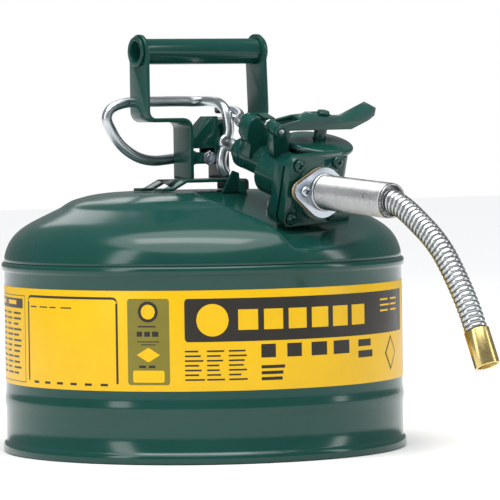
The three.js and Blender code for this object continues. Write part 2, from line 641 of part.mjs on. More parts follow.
// ---------------------------------------------------------------- filler: arrester, lid and lever
const fillAt = (h) => onFlat(fillX, fillS, h);
function fillArrester() {
  const r = neckBore - GAP;
  const cup = put(
    turned([[0, -62], [r - 4, -62], [r - 4, 38], [r, 38], [r, 40], [r - 5.2, 40], [r - 5.2, -60.8], [0, -60.8]],
      24),
    stand(fillAt(0), flatUp)
  );
  return cup;
}
add('fill_flame_arrester', fillArrester(), STEEL());
add(
  'lid_gasket',
  bar(fillAt(lidH - 2.2 + GAP), fillAt(lidH - GAP), neckR - 1, neckBore - 1.5, 28),
  RUBBER()
);

// The lid: a turned-down rim, a low crown and a blind socket for its post.
function lidDisc() {
  return put(
    turned(
      [
        [0, 0], [lidR - 1.2, 0], [lidR, 1.4], [lidR, lidT - 1.2], [lidR - 1.2, lidT],
        [12, lidT + 1.4], [postR + GAP, lidT + 1.6], [postR + GAP, 2.4], [0, 2.4],
      ],
      36
    ),
    stand(fillAt(lidH), flatUp)
  );
}
add('lid_disc', lidDisc(), GREEN());
const postTop = webH - GAP - reliefTravel;
add('lid_post', bar(fillAt(lidH + 2.4 + GAP), fillAt(postTop), postR, 0, 20)
  .add(bar(fillAt(postTop - 0.1), fillAt(hubH + 1), 2.6, 0, 16)), GREEN());

// Lever: two arms from the hinge, a web with a hub over the lid, then a solid thumb paddle.
function capLever() {
  const side = [
    [14, 60.5], [18, 65.4], [70.5, 65.8], [90.6, 75.4], [92.4, 77.6], [91.6, 80.6], [88.6, 82], [68.4, 72.2],
    [58, 71.8], [55.6, hubH], [38.5, hubH], [35.5, 73.6], [26, 72.8], [12, 69.4], [8, 68], [6.6, 64.5],
    [8, 61],
  ];
  const upright = new THREE.Matrix4().makeRotationX(Math.PI / 2);
  let body = put(slab(side, -leverHalfW, leverHalfW), upright);
  body = body.subtract(block(-10, 27, -leverHalfW + armT, leverHalfW - armT, 40, 90));
  body = body.subtract(block(26, 66, -leverHalfW + armT, leverHalfW - armT, 40, webH));
  body = body.add(bar(V(hingeX, -leverHalfW, hingeH), V(hingeX, leverHalfW, hingeH), 4.9, 0, 20)
    .subtract(block(-10, 40, -leverHalfW + armT, leverHalfW - armT, 40, 90)));
  const trim = (turn) => slab([[84, turn * leverHalfW], [100, turn * leverHalfW], [100, turn * 1.5],
    [92.6, turn * 2.6], [90.2, turn * 5.6]], 40, 100);
  body = body.subtract(trim(-1)).subtract(trim(1));
  body = body.subtract(bar(V(fillX, 0, 40), V(fillX, 0, 90), 2.6 + GAP, 0, 16));
  body = body.subtract(bar(V(hingeX, -20, hingeH), V(hingeX, 20, hingeH), hingePinR + GAP, 0, 18));
  return flatPut(put(body, new THREE.Matrix4().makeTranslation(0, -fillS, 0)));
}
add('cap_lever', capLever(), GREEN());
add('lid_rivet', bar(fillAt(hubH + GAP), fillAt(hubH + 2.6), 4.6, 0, 20)
  .subtract(bar(fillAt(hubH - 2), fillAt(hubH + 1 + GAP), 2.6 + GAP, 0, 16)), GREEN());
const pinNearS = fillS + leverHalfW - 0.4;
const pinFarS = fillS - leverHalfW - 5.4;
add('lever_hinge_pin', bar(onFlat(hingeX, pinFarS, hingeH), onFlat(hingeX, pinNearS, hingeH),
  hingePinR, 0, 16), ZINC());
add('lever_return_spring', springCoil(onFlat(hingeX, fillS - leverHalfW - GAP, hingeH),
  onFlat(hingeX, pinFarS + 0.6, hingeH), 3.4, 0.6, 3), STEEL());

// ---------------------------------------------------------------- cover plate, flange and spout
const ringR = 22;
function coverPlate() {
  const face = slab(roundRect(plateSide, plateSide, plateCorner), -plateT / 2, plateT / 2);
  let body = platePut(face).add(bar(onPlate(2, 0, 0), onPlate(2, 0, plateT / 2 + 2), ringR, 0, 28));
  // wedge-shaped seat that turns the flange up to the spout's own direction
  body = body.add(bar(flangeAt(-9), flangeAt(-flangeT / 2 - gasketT - GAP), ringR - 2, 0, 28));
  body = body.subtract(bar(flangeAt(-30), flangeAt(20), barrelR - 2.5, 0, 24));
  for (const [u, v] of coverScrews) {
    body = body.subtract(bar(onPlate(u, v, -20), onPlate(u, v, 20), 2.6 + GAP, 0, 14));
    body = body.subtract(bar(onPlate(u, v, plateT / 2 - 1), onPlate(u, v, 30), coverScrewR + 1, 0, 18));
  }
  for (const at of flangeScrews) body = body.subtract(bar(at(-12), at(20), 2.2 + GAP, 0, 14));
  body = body.subtract(bar(flangeAt(-flangeT / 2 - gasketT - GAP), flangeAt(20), 36, 0, 24));
  // the top edge is relieved under the lid
  body = body.subtract(bar(fillAt(lidH - 1), fillAt(90), lidR + 1.6, 0, 36));
  return body.intersect(platePut(block(-40, 40, -40, 40, -plateT / 2, 30)));
}
const coverScrews = [[-screwHalfU, screwHalfV], [screwHalfU, screwHalfV], [-screwHalfU, -screwHalfV],
  [screwHalfU, -screwHalfV]];

// The flange's own frame: the spout's axis is its +Z, its long corners lie level.
const flangeCentre = onPlate(2, 0, seatH);
const flangeRight = V(-spoutDir.y, spoutDir.x, 0);
const flangeUp = new THREE.Vector3().crossVectors(spoutAxis, flangeRight);
const flangeRoll = rad(-4); // the flange's long axis leans from level
const flangeFrame = new THREE.Matrix4().makeBasis(flangeRight, flangeUp, spoutAxis).setPosition(flangeCentre)
  .multiply(new THREE.Matrix4().makeRotationZ(flangeRoll));
function flangeAt(w) {
  return V(0, 0, w).applyMatrix4(flangeFrame);
}
const flangeScrews = [-1, 1].map((side) => (w) => V(side * flangeScrewOff, 0, w).applyMatrix4(flangeFrame));

function flangeOutline() {
  const s = new THREE.Shape();
  const tipR = 7;
  const tip = flangeHalfL - tipR;
  const lean = Math.acos((flangeHalfW - tipR) / tip);
  s.absarc(tip, 0, tipR, -lean, lean);
  s.absarc(0, 0, flangeHalfW, lean, Math.PI - lean);
  s.absarc(-tip, 0, tipR, Math.PI - lean, Math.PI + lean);
  s.absarc(0, 0, flangeHalfW, Math.PI + lean, 2 * Math.PI - lean);
  return s;
}
function flangeDisc(w0, w1, bore) {
  let body = put(slab(flangeOutline(), w0, w1), flangeFrame);
  body = body.subtract(bar(flangeAt(w0 - 5), flangeAt(w1 + 5), bore, 0, 28));
  for (const at of flangeScrews) body = body.subtract(bar(at(w0 - 5), at(w1 + 5), 2.2 + GAP, 0, 14));
  return body;
}

const coverBack = -plateT / 2 - GAP;
function coverGasket() {
  let body = slab(roundRect(plateSide - 7, plateSide - 10, 9.5), coverBack - gasketT, coverBack);
  body = body.subtract(slab(roundRect(33, 33, 8), coverBack - 6, coverBack + 6));
  return platePut(body);
}

add('cover_plate', coverPlate(), GREEN());
add('cover_gasket', coverGasket(), RUBBER());
coverScrews.forEach(([u, v], i) => {
  const head = bar(onPlate(u, v, plateT / 2 - 1 + GAP), onPlate(u, v, plateT / 2 + 2.2), coverScrewR, 0, 16);
  const shank = bar(onPlate(u, v, -plateT / 2 + GAP), onPlate(u, v, plateT / 2), 2.6, 0, 12);
  add(`cover_screw_${i + 1}`, head.add(shank), GREEN());
});
add('flange_gasket', flangeDisc(-flangeT / 2 - gasketT, -flangeT / 2 - GAP, barrelR - 2), FIBRE());
add('hose_flange', flangeDisc(-flangeT / 2, flangeT / 2, barrelR - 1.4), ZINC());
flangeScrews.forEach((at, i) => {
  const head = bar(at(flangeT / 2 + GAP), at(flangeT / 2 + 3), 4, 0, 16);
  const shank = bar(at(-flangeT / 2 - gasketT - 3), at(flangeT / 2 + 1), 2.2, 0, 12);
  add(`flange_screw_${i + 1}`, head.add(shank), ZINC());
});

const mouthW = flangeT / 2 + GAP + barrelL;
function spoutBarrel() {
  const tube = bar(flangeAt(flangeT / 2 + GAP), flangeAt(mouthW), barrelR, barrelR - barrelWall, 32);
  const collarRing = bar(flangeAt(flangeT / 2 + GAP), flangeAt(flangeT / 2 + 3.4), barrelR + 1,
    barrelR - barrelWall, 32);
  return tube.add(collarRing);
}
add('spout_barrel', spoutBarrel(), ZINC());
const collarOut = mouthW - 6;
add('hose_collar', bar(flangeAt(collarOut - 8), flangeAt(collarOut), barrelR - barrelWall - GAP,
  hoseR - 2.4, 24), STEEL());
add('pour_flame_arrester', put(
  turned([[0, 2], [8.6, 2], [8.6, 50], [7.6, 50], [7.6, 3], [0, 3]], 20),
  stand(flangeAt(0), spoutAxis)), STEEL());

// ---------------------------------------------------------------- hose
// Route of the free hose from its collar to the nozzle: [level distance, height] from the spout's mouth.
const hoseRoute = [
  [-5.5, 0.44], [-2, 0.05], [1.9, -0.7], [9.2, -3.9], [16.1, -7.9], [22.7, -12.4], [29.2, -17.1],
  [35.6, -21.9], [41.7, -27.1], [47.4, -32.7], [52.5, -38.8], [57.2, -45.3], [61.7, -52], [65.9, -58.7],
  [70, -65.6], [73.8, -72.7], [77.3, -79.9], [80.8, -88],
];
const mouth = flangeAt(mouthW);
const hosePoint = ([along, up]) => mouth.clone().addScaledVector(spoutDir, along).add(V(0, 0, up));
add('hose', rod(hoseRoute.map((p) => hosePoint(p).toArray()), hoseR, 20, 10), ZINC());

const hoseEnd = hosePoint(hoseRoute[hoseRoute.length - 1]);
const hoseEndDir = hoseEnd.clone().sub(hosePoint(hoseRoute[hoseRoute.length - 2])).normalize();
const alongEnd = (d) => hoseEnd.clone().addScaledVector(hoseEndDir, d);
add(
  'hose_ferrule',
  bar(alongEnd(GAP), alongEnd(ferruleL), ferruleR, ferruleR - 2.2, 24),
  BRASS()
);

// ---------------------------------------------------------------- frame
// The origin: the middle of the box round everything but the free hose, down on the floor.
const cords = ['hose', 'hose_ferrule'];
const box = new THREE.Box3();
for (const mesh of can.children) if (!cords.includes(mesh.name)) box.expandByObject(mesh);
const middle = box.getCenter(V(0, 0, 0));
for (const mesh of can.children) mesh.geometry.translate(-middle.x, -middle.y, -box.min.z);

export default can;
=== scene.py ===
import json
import math
import random

import bmesh
import bpy
from bpy.props import FloatProperty, FloatVectorProperty, IntProperty, PointerProperty
from mathutils import Matrix, Vector

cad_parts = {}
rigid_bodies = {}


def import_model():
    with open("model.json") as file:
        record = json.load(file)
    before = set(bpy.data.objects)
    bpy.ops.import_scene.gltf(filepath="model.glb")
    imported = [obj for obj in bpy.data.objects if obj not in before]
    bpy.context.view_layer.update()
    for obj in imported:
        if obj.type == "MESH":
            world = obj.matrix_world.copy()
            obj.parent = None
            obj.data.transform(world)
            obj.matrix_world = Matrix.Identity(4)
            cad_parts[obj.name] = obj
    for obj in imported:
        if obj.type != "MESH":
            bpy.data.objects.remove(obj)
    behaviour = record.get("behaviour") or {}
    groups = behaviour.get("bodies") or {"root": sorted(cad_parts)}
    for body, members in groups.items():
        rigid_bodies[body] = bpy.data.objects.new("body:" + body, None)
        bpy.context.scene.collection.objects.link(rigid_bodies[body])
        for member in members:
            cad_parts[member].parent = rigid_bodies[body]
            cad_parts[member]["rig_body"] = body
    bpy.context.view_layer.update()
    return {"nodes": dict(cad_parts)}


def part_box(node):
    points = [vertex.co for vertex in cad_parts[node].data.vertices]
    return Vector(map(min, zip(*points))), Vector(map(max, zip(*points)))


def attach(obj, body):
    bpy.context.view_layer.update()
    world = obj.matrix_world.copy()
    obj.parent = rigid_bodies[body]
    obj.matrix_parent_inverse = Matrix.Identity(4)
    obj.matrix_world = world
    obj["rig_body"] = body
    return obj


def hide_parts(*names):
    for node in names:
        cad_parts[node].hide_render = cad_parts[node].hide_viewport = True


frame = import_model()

bl_info = {
    "name": "Safety Can Builder",
    "version": (1, 0, 0),
    "blender": (4, 5, 0),
    "location": "View3D > Sidebar > Safety Can",
    "description": "Finishes the packed safety can with smooth shells, ribbed hose, label and screws",
    "category": "Object",
}

MM = 0.001
WALL_LOW, WALL_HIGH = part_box("can_body_shell")
AXIS = Vector(((WALL_LOW.x + WALL_HIGH.x) / 2, (WALL_LOW.y + WALL_HIGH.y) / 2, 0))
UP = Vector((0, 0, 1))

# How the meshes are finished: angles in degrees past which an edge stays crisp or is rounded.
SHELL_CREASE = 50
TURNED_CREASE = 60
SMALL_CREASE = 40
CAD_CREASE = 30
FLAT_ENOUGH = math.radians(0.4)  # CAD faces that turn less than this are one face
CAD_WELD = 2e-6  # CAD corners closer than this are one corner

# The shells' outlines as [radius, height], in millimetres from the can's own axis and the floor.
WALL_R = 147.2
SHEET = 1.2
LIP_TUCK = 0.9  # how far the dome's inner skin stays inside its outer one near the rim
LIP_R = 100  # radius outside which it does
WALL_OUTLINE = [
    (146.4, 0.2), (147.6, 0), (148.8, 0.5), (149.5, 1.7), (149.6, 4), (149.5, 5.8), (148.9, 7.2),
    (147.8, 8.1), (147.2, 8.9), (147.2, 20), (147.2, 31.5), (147.35, 34), (147.9, 36.6), (148.1, 39),
    (147.9, 41.4), (147.35, 44), (147.2, 46.5), (147.2, 60), (147.2, 90), (147.2, 120), (147.2, 133.2),
    (147.5, 133.8), (148.6, 134.4), (149.2, 135.6), (149.3, 137.2), (149.1, 138.9), (148.3, 140),
    (146, 140.2), (146, 100), (146, 50), (146, 1.2),
]
PAN_OUTLINE = [
    (0, 6.5), (60, 6.5), (112, 6.5), (117, 6.0), (122, 4.5), (135, 4.3), (143, 4.5), (144.4, 5.6),
    (144.4, 12), (145.6, 12), (145.6, 5), (144.6, 3.3), (122, 3.3), (117, 4.6), (112, 5.3), (0, 5.3),
]
DOME_OUTLINE = [
    (147.25, 140.6), (147.2, 143.5), (146.5, 146.5), (145, 150.9), (142.7, 155.4), (139.3, 159.8),
    (134.3, 164.2), (127.5, 168.5), (118.7, 172.9), (109.8, 177.1), (105.3, 179.3), (100.8, 182.2),
    (96.3, 184.6), (91.8, 186), (82.9, 188.2), (69.5, 189.9), (42.8, 190.6), (20, 190.7), (0.4, 190.7),
]

# The slanted flat pressed into the dome: where it starts, how it falls, and its plan's corners.
FLAT_START = -18
FLAT_TILT = math.radians(17.5)
PLATEAU = 190.7
FLAT_PLAN = [
    (-14, -10), (-31, -66), (-31, -83), (-20, -101), (-9, -126), (-8, -165),
    (78, -165), (79, -126), (90, -101), (99, -83), (99, -66), (82, -10),
]
FLAT_BANK = 1.7  # rise of the pressed wall for each step outwards
FLAT_ROUNDING = 3.2

# The spout: turned from +X and tipped below level.
SPOUT_YAW = math.radians(-79)
SPOUT_DROP = math.radians(4.6)
SPOUT_LEVEL = Vector((math.cos(SPOUT_YAW), math.sin(SPOUT_YAW), 0))
SPOUT_AXIS = SPOUT_LEVEL * math.cos(SPOUT_DROP) - UP * math.sin(SPOUT_DROP)
DOWNHILL = Vector((0, -math.cos(FLAT_TILT), -math.sin(FLAT_TILT)))
PLATE_AXIS = Vector((1, 0, 0)) * math.cos(SPOUT_YAW) - DOWNHILL * math.sin(SPOUT_YAW)

# Route of the free hose from its collar to the nozzle: [level distance, height] from the spout's mouth.
HOSE_STEPS = 4  # stretches of the drawn route between two of its points
HOSE_ROUTE = [
    (-0.0055, 0.00044), (-0.002, 0.00005), (0.0019, -0.0007), (0.0092, -0.0039), (0.0161, -0.0079),
    (0.0227, -0.0124), (0.0292, -0.0171), (0.0356, -0.0219), (0.0417, -0.0271), (0.0474, -0.0327),
    (0.0525, -0.0388), (0.0572, -0.0453), (0.0617, -0.052), (0.0659, -0.0587), (0.07, -0.0656),
    (0.0738, -0.0727), (0.0773, -0.0799), (0.0808, -0.088),
]

# The trigger's bent rod in two stretches that meet at its eye, and the vent's bent finger: [x, y, z] in
# millimetres from the can's axis and the floor.
BAIL_OVER = [
    (-9, 17.5, 215), (-20, 17.5, 213.8), (-32.6, 17.5, 213.3), (-45.3, 17.5, 216.5), (-58.7, 17.5, 225.6),
    (-66.3, 17.5, 236.4), (-69.8, 17.5, 245), (-66.6, 17.5, 251.6), (-58.2, 17.5, 255.4), (-46, 17.5, 256.9),
    (-28, 17.5, 256.9), (-8, 17.5, 256.9), (3, 17, 256.6), (9, 12, 256.8), (11.4, 4, 256.6), (12, -8, 254.6),
    (12.4, -15.5, 249.4), (13.2, -18.3, 240), (13.2, -18.5, 233.6), (11.7, -18.5, 229.4),
]
BAIL_UNDER = [
    (9.3, -18.5, 222.6), (7.6, -18.5, 219), (6.4, -18.5, 212.4), (7.6, -18.5, 207), (10.4, -18.5, 203.4),
]
BAIL_R = 3.85
PIVOT = (10.6, -18.5, 225.9)
VENT_FINGER = [
    (16, 4, 250.4), (20, -4, 250.4), (20, -13, 250.2), (18, -25, 248.2), (13, -36, 245.4),
    (6.6, -42.5, 242.8), (5.2, -46, 241.2), (5, -51, 239),
]
VENT_R = 2.9
ROD_STEPS = 6
ROD_PITCH = 18  # nine times the spacing of a plain rod's rings
# The ring that the trigger's rod is forged into round its pin, as [radius, height] along the pin.
EYE_OUTLINE = [
    (2.7, -2.6), (4.6, -2.8), (5.9, -2.3), (6.4, -1.2), (6.4, 1.2), (5.9, 2.3), (4.6, 2.8), (2.7, 2.6),
]

# The spout's tube and its turned ridges, in millimetres.
SPOUT_R = 12.7
SPOUT_BORE = 11.3
RIDGE_PITCH = 1.25
RIDGE_RISE = 0.5
RIDGE_PAINTED_SHADE = 0.9  # how dark the painted shade in the grooves between the ridges is

# The screws' pan heads: radius and height, in metres.
COVER_HEAD = (0.0045, 0.0029)
FLANGE_HEAD = (0.0041, 0.0028)

# The label: its band, and the direction it faces, in degrees from +X.
LABEL_LOW = 52.1
LABEL_HIGH = 123.4
LABEL_R = 147.5
LABEL_FRONT = -120.3
PRINT_STEP = 0.05  # how far each printed layer stands on the one below it, in millimetres
PRINT_SKIN = 0.04  # thickness of a printed shape
NOTE_DASHES = 6

# How the camera is aimed, past its heading: turned right, tipped down and rolled.
CAMERA_TURN = math.radians(0.70)
CAMERA_DROP = math.radians(2.176)
CAMERA_ROLL = math.radians(-0.83)
SENSOR_WIDTH = 36

# The softboxes: name, place, width, height in metres, and power in watts.
AIM_HEIGHT = 0.15
LAMPS = [
    ("key", (-2.1, -0.4, 1.0), 0.5, 1.6, 11),
    ("side", (1.7, -1.3, 0.9), 0.35, 1.4, 7),
    ("top", (-0.35, -0.35, 1.9), 1.5, 0.55, 13),
    ("back", (0.7, 1.9, 1.4), 0.8, 0.8, 3),
]


# ---------------------------------------------------------------- sizes and colours a user may change
class ShellSettings(bpy.types.PropertyGroup):
    sides: IntProperty(name="Sides", description="Facets round each shell", default=192, min=48, max=360)
    rings: IntProperty(name="Dome rings", description="Rings from the dome's rim to its middle", default=96,
                       min=32, max=160)
    corner: FloatProperty(name="Corner", description="Rounding of the pressed and cast pieces' edges",
                          default=0.0006, min=0.0001, max=0.002, unit="LENGTH")


class HoseSettings(bpy.types.PropertyGroup):
    radius: FloatProperty(name="Radius", description="Outside radius over the ribs", default=0.0083,
                          min=0.004, max=0.02, unit="LENGTH")
    pitch: FloatProperty(name="Rib pitch", description="Distance from rib to rib", default=0.0038,
                         min=0.001, max=0.01, unit="LENGTH")
    depth: FloatProperty(name="Rib depth", description="Depth of the grooves between ribs", default=0.0011,
                         min=0.0001, max=0.003, unit="LENGTH")


class FinishSettings(bpy.types.PropertyGroup):
    enamel: FloatVectorProperty(name="Enamel", description="Colour of the stoved enamel", subtype="COLOR",
                                size=3, min=0, max=1, default=(0.006, 0.056, 0.045))
    label: FloatVectorProperty(name="Label", description="Ground colour of the label", subtype="COLOR",
                               size=3, min=0, max=1, default=(0.84, 0.50, 0.002))
    ink: FloatVectorProperty(name="Ink", description="Colour of the label's dark print", subtype="COLOR",
                             size=3, min=0, max=1, default=(0.020, 0.017, 0.013))
    peel: FloatProperty(name="Orange peel", description="Relief of the enamel's surface", default=0.03,
                        min=0, max=1, subtype="FACTOR")


class StageSettings(bpy.types.PropertyGroup):
    distance: FloatProperty(name="Distance", description="From the can's axis to the camera", default=2.88,
                            min=0.5, max=10, unit="LENGTH")
    height: FloatProperty(name="Height", description="Height of the camera", default=0.2553, min=0, max=3,
                          unit="LENGTH")
    heading: FloatProperty(name="Heading", description="Direction from the camera to the can, from +X",
                           default=math.radians(59.69), subtype="ANGLE")
    lens: FloatProperty(name="Lens", description="Focal length in millimetres", default=279.4, min=20,
                        max=400)


class SafetyCanSettings(bpy.types.PropertyGroup):
    shell: PointerProperty(type=ShellSettings, name="Shell", description="Smoothness of the shells")
    hose: PointerProperty(type=HoseSettings, name="Hose", description="Sizes of the hose")
    finish: PointerProperty(type=FinishSettings, name="Finish", description="Colours")
    stage: PointerProperty(type=StageSettings, name="Stage", description="Camera")


# ---------------------------------------------------------------- mesh helpers
def object_from(bm, name, material=None):
    """A new object that takes over a bmesh, with smooth faces."""
    mesh = bpy.data.meshes.new(name)
    for face in bm.faces:
        face.smooth = True
    bm.to_mesh(mesh)
    bm.free()
    piece = bpy.data.objects.new(name, mesh)
    bpy.context.scene.collection.objects.link(piece)
    if material:
        mesh.materials.append(material)
    return piece


def standing(direction, place):
    """A matrix that stands +Z along a direction at a place."""
    return Matrix.Translation(place) @ UP.rotation_difference(direction).to_matrix().to_4x4()


def lathe(bm, outline, sides, matrix=Matrix.Identity(4)):
    """Turns a closed outline of [radius, height] millimetres about +Z, then places it."""
    rings = []
    for step in range(sides):
        turn = 2 * math.pi * step / sides
        rings.append([
            bm.verts.new(matrix @ Vector((r * MM * math.cos(turn), r * MM * math.sin(turn), z * MM)))
            for r, z in outline
        ])
    made = [vert for ring in rings for vert in ring]
    for ring, after in zip(rings, rings[1:] + rings[:1]):
        for i in range(len(outline)):
            j = (i + 1) % len(outline)
            if outline[i][0] == 0 and outline[j][0] == 0:
                continue
            bm.faces.new((ring[i], after[i], after[j], ring[j]))
    bmesh.ops.remove_doubles(bm, verts=made, dist=1e-6)
    bmesh.ops.dissolve_degenerate(bm, edges=bm.edges, dist=1e-7)
    bmesh.ops.recalc_face_normals(bm, faces=bm.faces)


def smooth_line(points, steps):
    """Points along a centripetal curve through the given ones."""
    line = [Vector(p) for p in points]
    ends = [line[0] * 2 - line[1]] + line + [line[-1] * 2 - line[-2]]
    made = []
    for a, b, c, d in zip(ends, ends[1:], ends[2:], ends[3:]):
        t0 = 0.0
        t1 = t0 + max((b - a).length, 1e-9) ** 0.5
        t2 = t1 + max((c - b).length, 1e-9) ** 0.5
        t3 = t2 + max((d - c).length, 1e-9) ** 0.5
        for step in range(steps):
            t = t1 + (t2 - t1) * step / steps
            ab = a.lerp(b, (t - t0) / (t1 - t0))
            bc = b.lerp(c, (t - t1) / (t2 - t1))
            cd = c.lerp(d, (t - t2) / (t3 - t2))
            abc = ab.lerp(bc, (t - t0) / (t2 - t0))
            bcd = bc.lerp(cd, (t - t1) / (t3 - t1))
            made.append(abc.lerp(bcd, (t - t1) / (t2 - t1)))
    made.append(line[-1])
    return made


def sharpen(piece, degrees=35):
    """Keeps the edges crisp that turn more than an angle."""
    piece.data.set_sharp_from_angle(angle=math.radians(degrees))
    return piece


def settle(piece, body, slot, *nodes):
    """Rides a finished piece on its body, in the place of its CAD nodes."""
    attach(piece, body)
    if nodes:
        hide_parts(*nodes)
    return piece


def plain_mesh(piece, name, material=None):
    """The evaluated result of a piece's modifiers as a new plain piece; the old one is removed."""
    evaluated = piece.evaluated_get(bpy.context.evaluated_depsgraph_get())
    mesh = bpy.data.meshes.new_from_object(evaluated)
    bpy.data.objects.remove(piece)
    made = bpy.data.objects.new(name, mesh)
    mesh.name = name
    bpy.context.scene.collection.objects.link(made)
    if material and not mesh.materials:
        mesh.materials.append(material)
    return made


# ---------------------------------------------------------------- shader groups
def shader_group(name, inputs, outputs):
    """An empty shader group with named value sockets and its input and output nodes."""
    tree = bpy.data.node_groups.new(name, "ShaderNodeTree")
    for label, kind, value in inputs:
        socket = tree.interface.new_socket(label, in_out="INPUT", socket_type=kind)
        if value is not None:
            socket.default_value = value
    for label, kind in outputs:
        tree.interface.new_socket(label, in_out="OUTPUT", socket_type=kind)
    return tree, tree.nodes.new("NodeGroupInput"), tree.nodes.new("NodeGroupOutput")


def maths(tree, operation, a, b=None):
    """A math node on links or numbers."""
    node = tree.nodes.new("ShaderNodeMath")
    node.operation = operation
    for socket, value in zip(node.inputs, (a, b)):
        if value is None:
            continue
        if isinstance(value, (int, float)):
            socket.default_value = value
        else:
            tree.links.new(value, socket)
    return node.outputs[0]


def noise(tree, vector, scale, detail=3.0, roughness=0.5):
    """Noise on a vector, at a scale that is a link or a number."""
    node = tree.nodes.new("ShaderNodeTexNoise")
    node.inputs["Detail"].default_value = detail
    node.inputs["Roughness"].default_value = roughness
    tree.links.new(vector, node.inputs["Vector"])
    if isinstance(scale, (int, float)):
        node.inputs["Scale"].default_value = scale
    else:
        tree.links.new(scale, node.inputs["Scale"])
    return node.outputs["Fac"]


def window(tree, value, low, high):
    """Spreads a stretch of values over 0 to 1."""
    node = tree.nodes.new("ShaderNodeMapRange")
    tree.links.new(value, node.inputs["Value"])
    node.inputs["From Min"].default_value = low
    node.inputs["From Max"].default_value = high
    return node.outputs["Result"]


def uneven_finish():
    """Cloudy tone, fine relief and specks that every finish has in its own measure."""
    tree, given, made = shader_group(
        "uneven_finish",
        [("Vector", "NodeSocketVector", None), ("Cloud Scale", "NodeSocketFloat", 18.0),
         ("Relief Scale", "NodeSocketFloat", 700.0)],
        [("Cloud", "NodeSocketFloat"), ("Relief", "NodeSocketFloat"), ("Specks", "NodeSocketFloat")],
    )
    place = given.outputs["Vector"]
    cloud = window(tree, noise(tree, place, given.outputs["Cloud Scale"], 5, 0.6), 0.3, 0.7)
    relief = noise(tree, place, given.outputs["Relief Scale"], 2)
    speck_scale = maths(tree, "MULTIPLY", given.outputs["Relief Scale"], 1.7)
    specks = window(tree, noise(tree, place, speck_scale, 1), 0.70, 0.78)
    tree.links.new(cloud, made.inputs["Cloud"])
    tree.links.new(relief, made.inputs["Relief"])
    tree.links.new(specks, made.inputs["Specks"])
    return tree


def drawn_lines():
    """Fine streaks along one direction, as rolling, drawing or wiping leaves."""
    tree, given, made = shader_group(
        "drawn_lines",
        [("Vector", "NodeSocketVector", None), ("Scale", "NodeSocketFloat", 60.0),
         ("Stretch", "NodeSocketVector", (1.0, 1.0, 20.0))],
        [("Streaks", "NodeSocketFloat")],
    )
    scaled = tree.nodes.new("ShaderNodeVectorMath")
    scaled.operation = "MULTIPLY"
    tree.links.new(given.outputs["Vector"], scaled.inputs[0])
    tree.links.new(given.outputs["Stretch"], scaled.inputs[1])
    streaks = noise(tree, scaled.outputs[0], given.outputs["Scale"], 4, 0.65)
    tree.links.new(streaks, made.inputs["Streaks"])
    return tree


GROUPS = {}


def shared_group(name, build):
    """A node group by its name, built once."""
    if name not in GROUPS:
        GROUPS[name] = build()
    return GROUPS[name]


def mixed(tree, factor, a, b):
    """A colour between two, each a colour or a link."""
    node = tree.nodes.new("ShaderNodeMix")
    node.data_type = "RGBA"
    tree.links.new(factor, node.inputs["Factor"])
    for label, colour in (("A", a), ("B", b)):
        if isinstance(colour, bpy.types.NodeSocket):
            tree.links.new(colour, node.inputs[label])
        else:
            node.inputs[label].default_value = (*colour, 1)
    return node.outputs["Result"]


def finish_material(name, light, dark, rough, metal=0.0, cloud=18.0, relief=700.0, bump=0.05, depth=0.0002,
                    stretch=None, streak_scale=60.0, speck=0.15, groove_shade=None, specular=0.5):
    """A principled finish whose tone, gloss and relief vary over the piece.

    rough is the gloss from smooth to dull places; the groove colour is painted shade laid at the bottom of a
    ribbed piece's grooves."""
    material = bpy.data.materials.new(name)
    material.use_nodes = True
    tree = material.node_tree
    tree.nodes.clear()
    out = tree.nodes.new("ShaderNodeOutputMaterial")
    shader = tree.nodes.new("ShaderNodeBsdfPrincipled")
    shader.inputs["Metallic"].default_value = metal
    shader.inputs["Specular IOR Level"].default_value = specular
    tree.links.new(shader.outputs[0], out.inputs["Surface"])
    place = tree.nodes.new("ShaderNodeTexCoord").outputs["Object"]
    uneven = tree.nodes.new("ShaderNodeGroup")
    uneven.node_tree = shared_group("uneven_finish", uneven_finish)
    uneven.inputs["Cloud Scale"].default_value = cloud
    uneven.inputs["Relief Scale"].default_value = relief
    tree.links.new(place, uneven.inputs["Vector"])
    mask = uneven.outputs["Cloud"]
    height = uneven.outputs["Relief"]
    if stretch:
        lines = tree.nodes.new("ShaderNodeGroup")
        lines.node_tree = shared_group("drawn_lines", drawn_lines)
        lines.inputs["Scale"].default_value = streak_scale
        lines.inputs["Stretch"].default_value = stretch
        tree.links.new(place, lines.inputs["Vector"])
        mask = maths(tree, "MULTIPLY", maths(tree, "ADD", mask, lines.outputs["Streaks"]), 0.5)
        height = maths(tree, "ADD", height, lines.outputs["Streaks"])
    colour = mixed(tree, mask, dark, light)
    specks = maths(tree, "MULTIPLY", uneven.outputs["Specks"], speck)
    colour = mixed(tree, specks, colour, [0.5 * c + 0.06 for c in light])
    # painted shade: a ribbed piece's groove mask darkens its colour towards the groove colour at the bottoms
    # of the grooves
    if groove_shade:
        groove_shade_mask = tree.nodes.new("ShaderNodeAttribute")
        groove_shade_mask.attribute_name = "groove_shade"
        colour = mixed(tree, groove_shade_mask.outputs["Fac"], colour, groove_shade)
    tree.links.new(colour, shader.inputs["Base Color"])
    gloss = tree.nodes.new("ShaderNodeMapRange")
    tree.links.new(mask, gloss.inputs["Value"])
    gloss.inputs["To Min"].default_value = rough[0]
    gloss.inputs["To Max"].default_value = rough[1]
    tree.links.new(gloss.outputs["Result"], shader.inputs["Roughness"])
    relief_node = tree.nodes.new("ShaderNodeBump")
    relief_node.inputs["Strength"].default_value = bump
    relief_node.inputs["Distance"].default_value = depth
    tree.links.new(height, relief_node.inputs["Height"])
    tree.links.new(relief_node.outputs["Normal"], shader.inputs["Normal"])
    return material


def shade(colour, factor):
    """A colour made lighter or darker."""
    return tuple(min(1.0, c * factor) for c in colour)


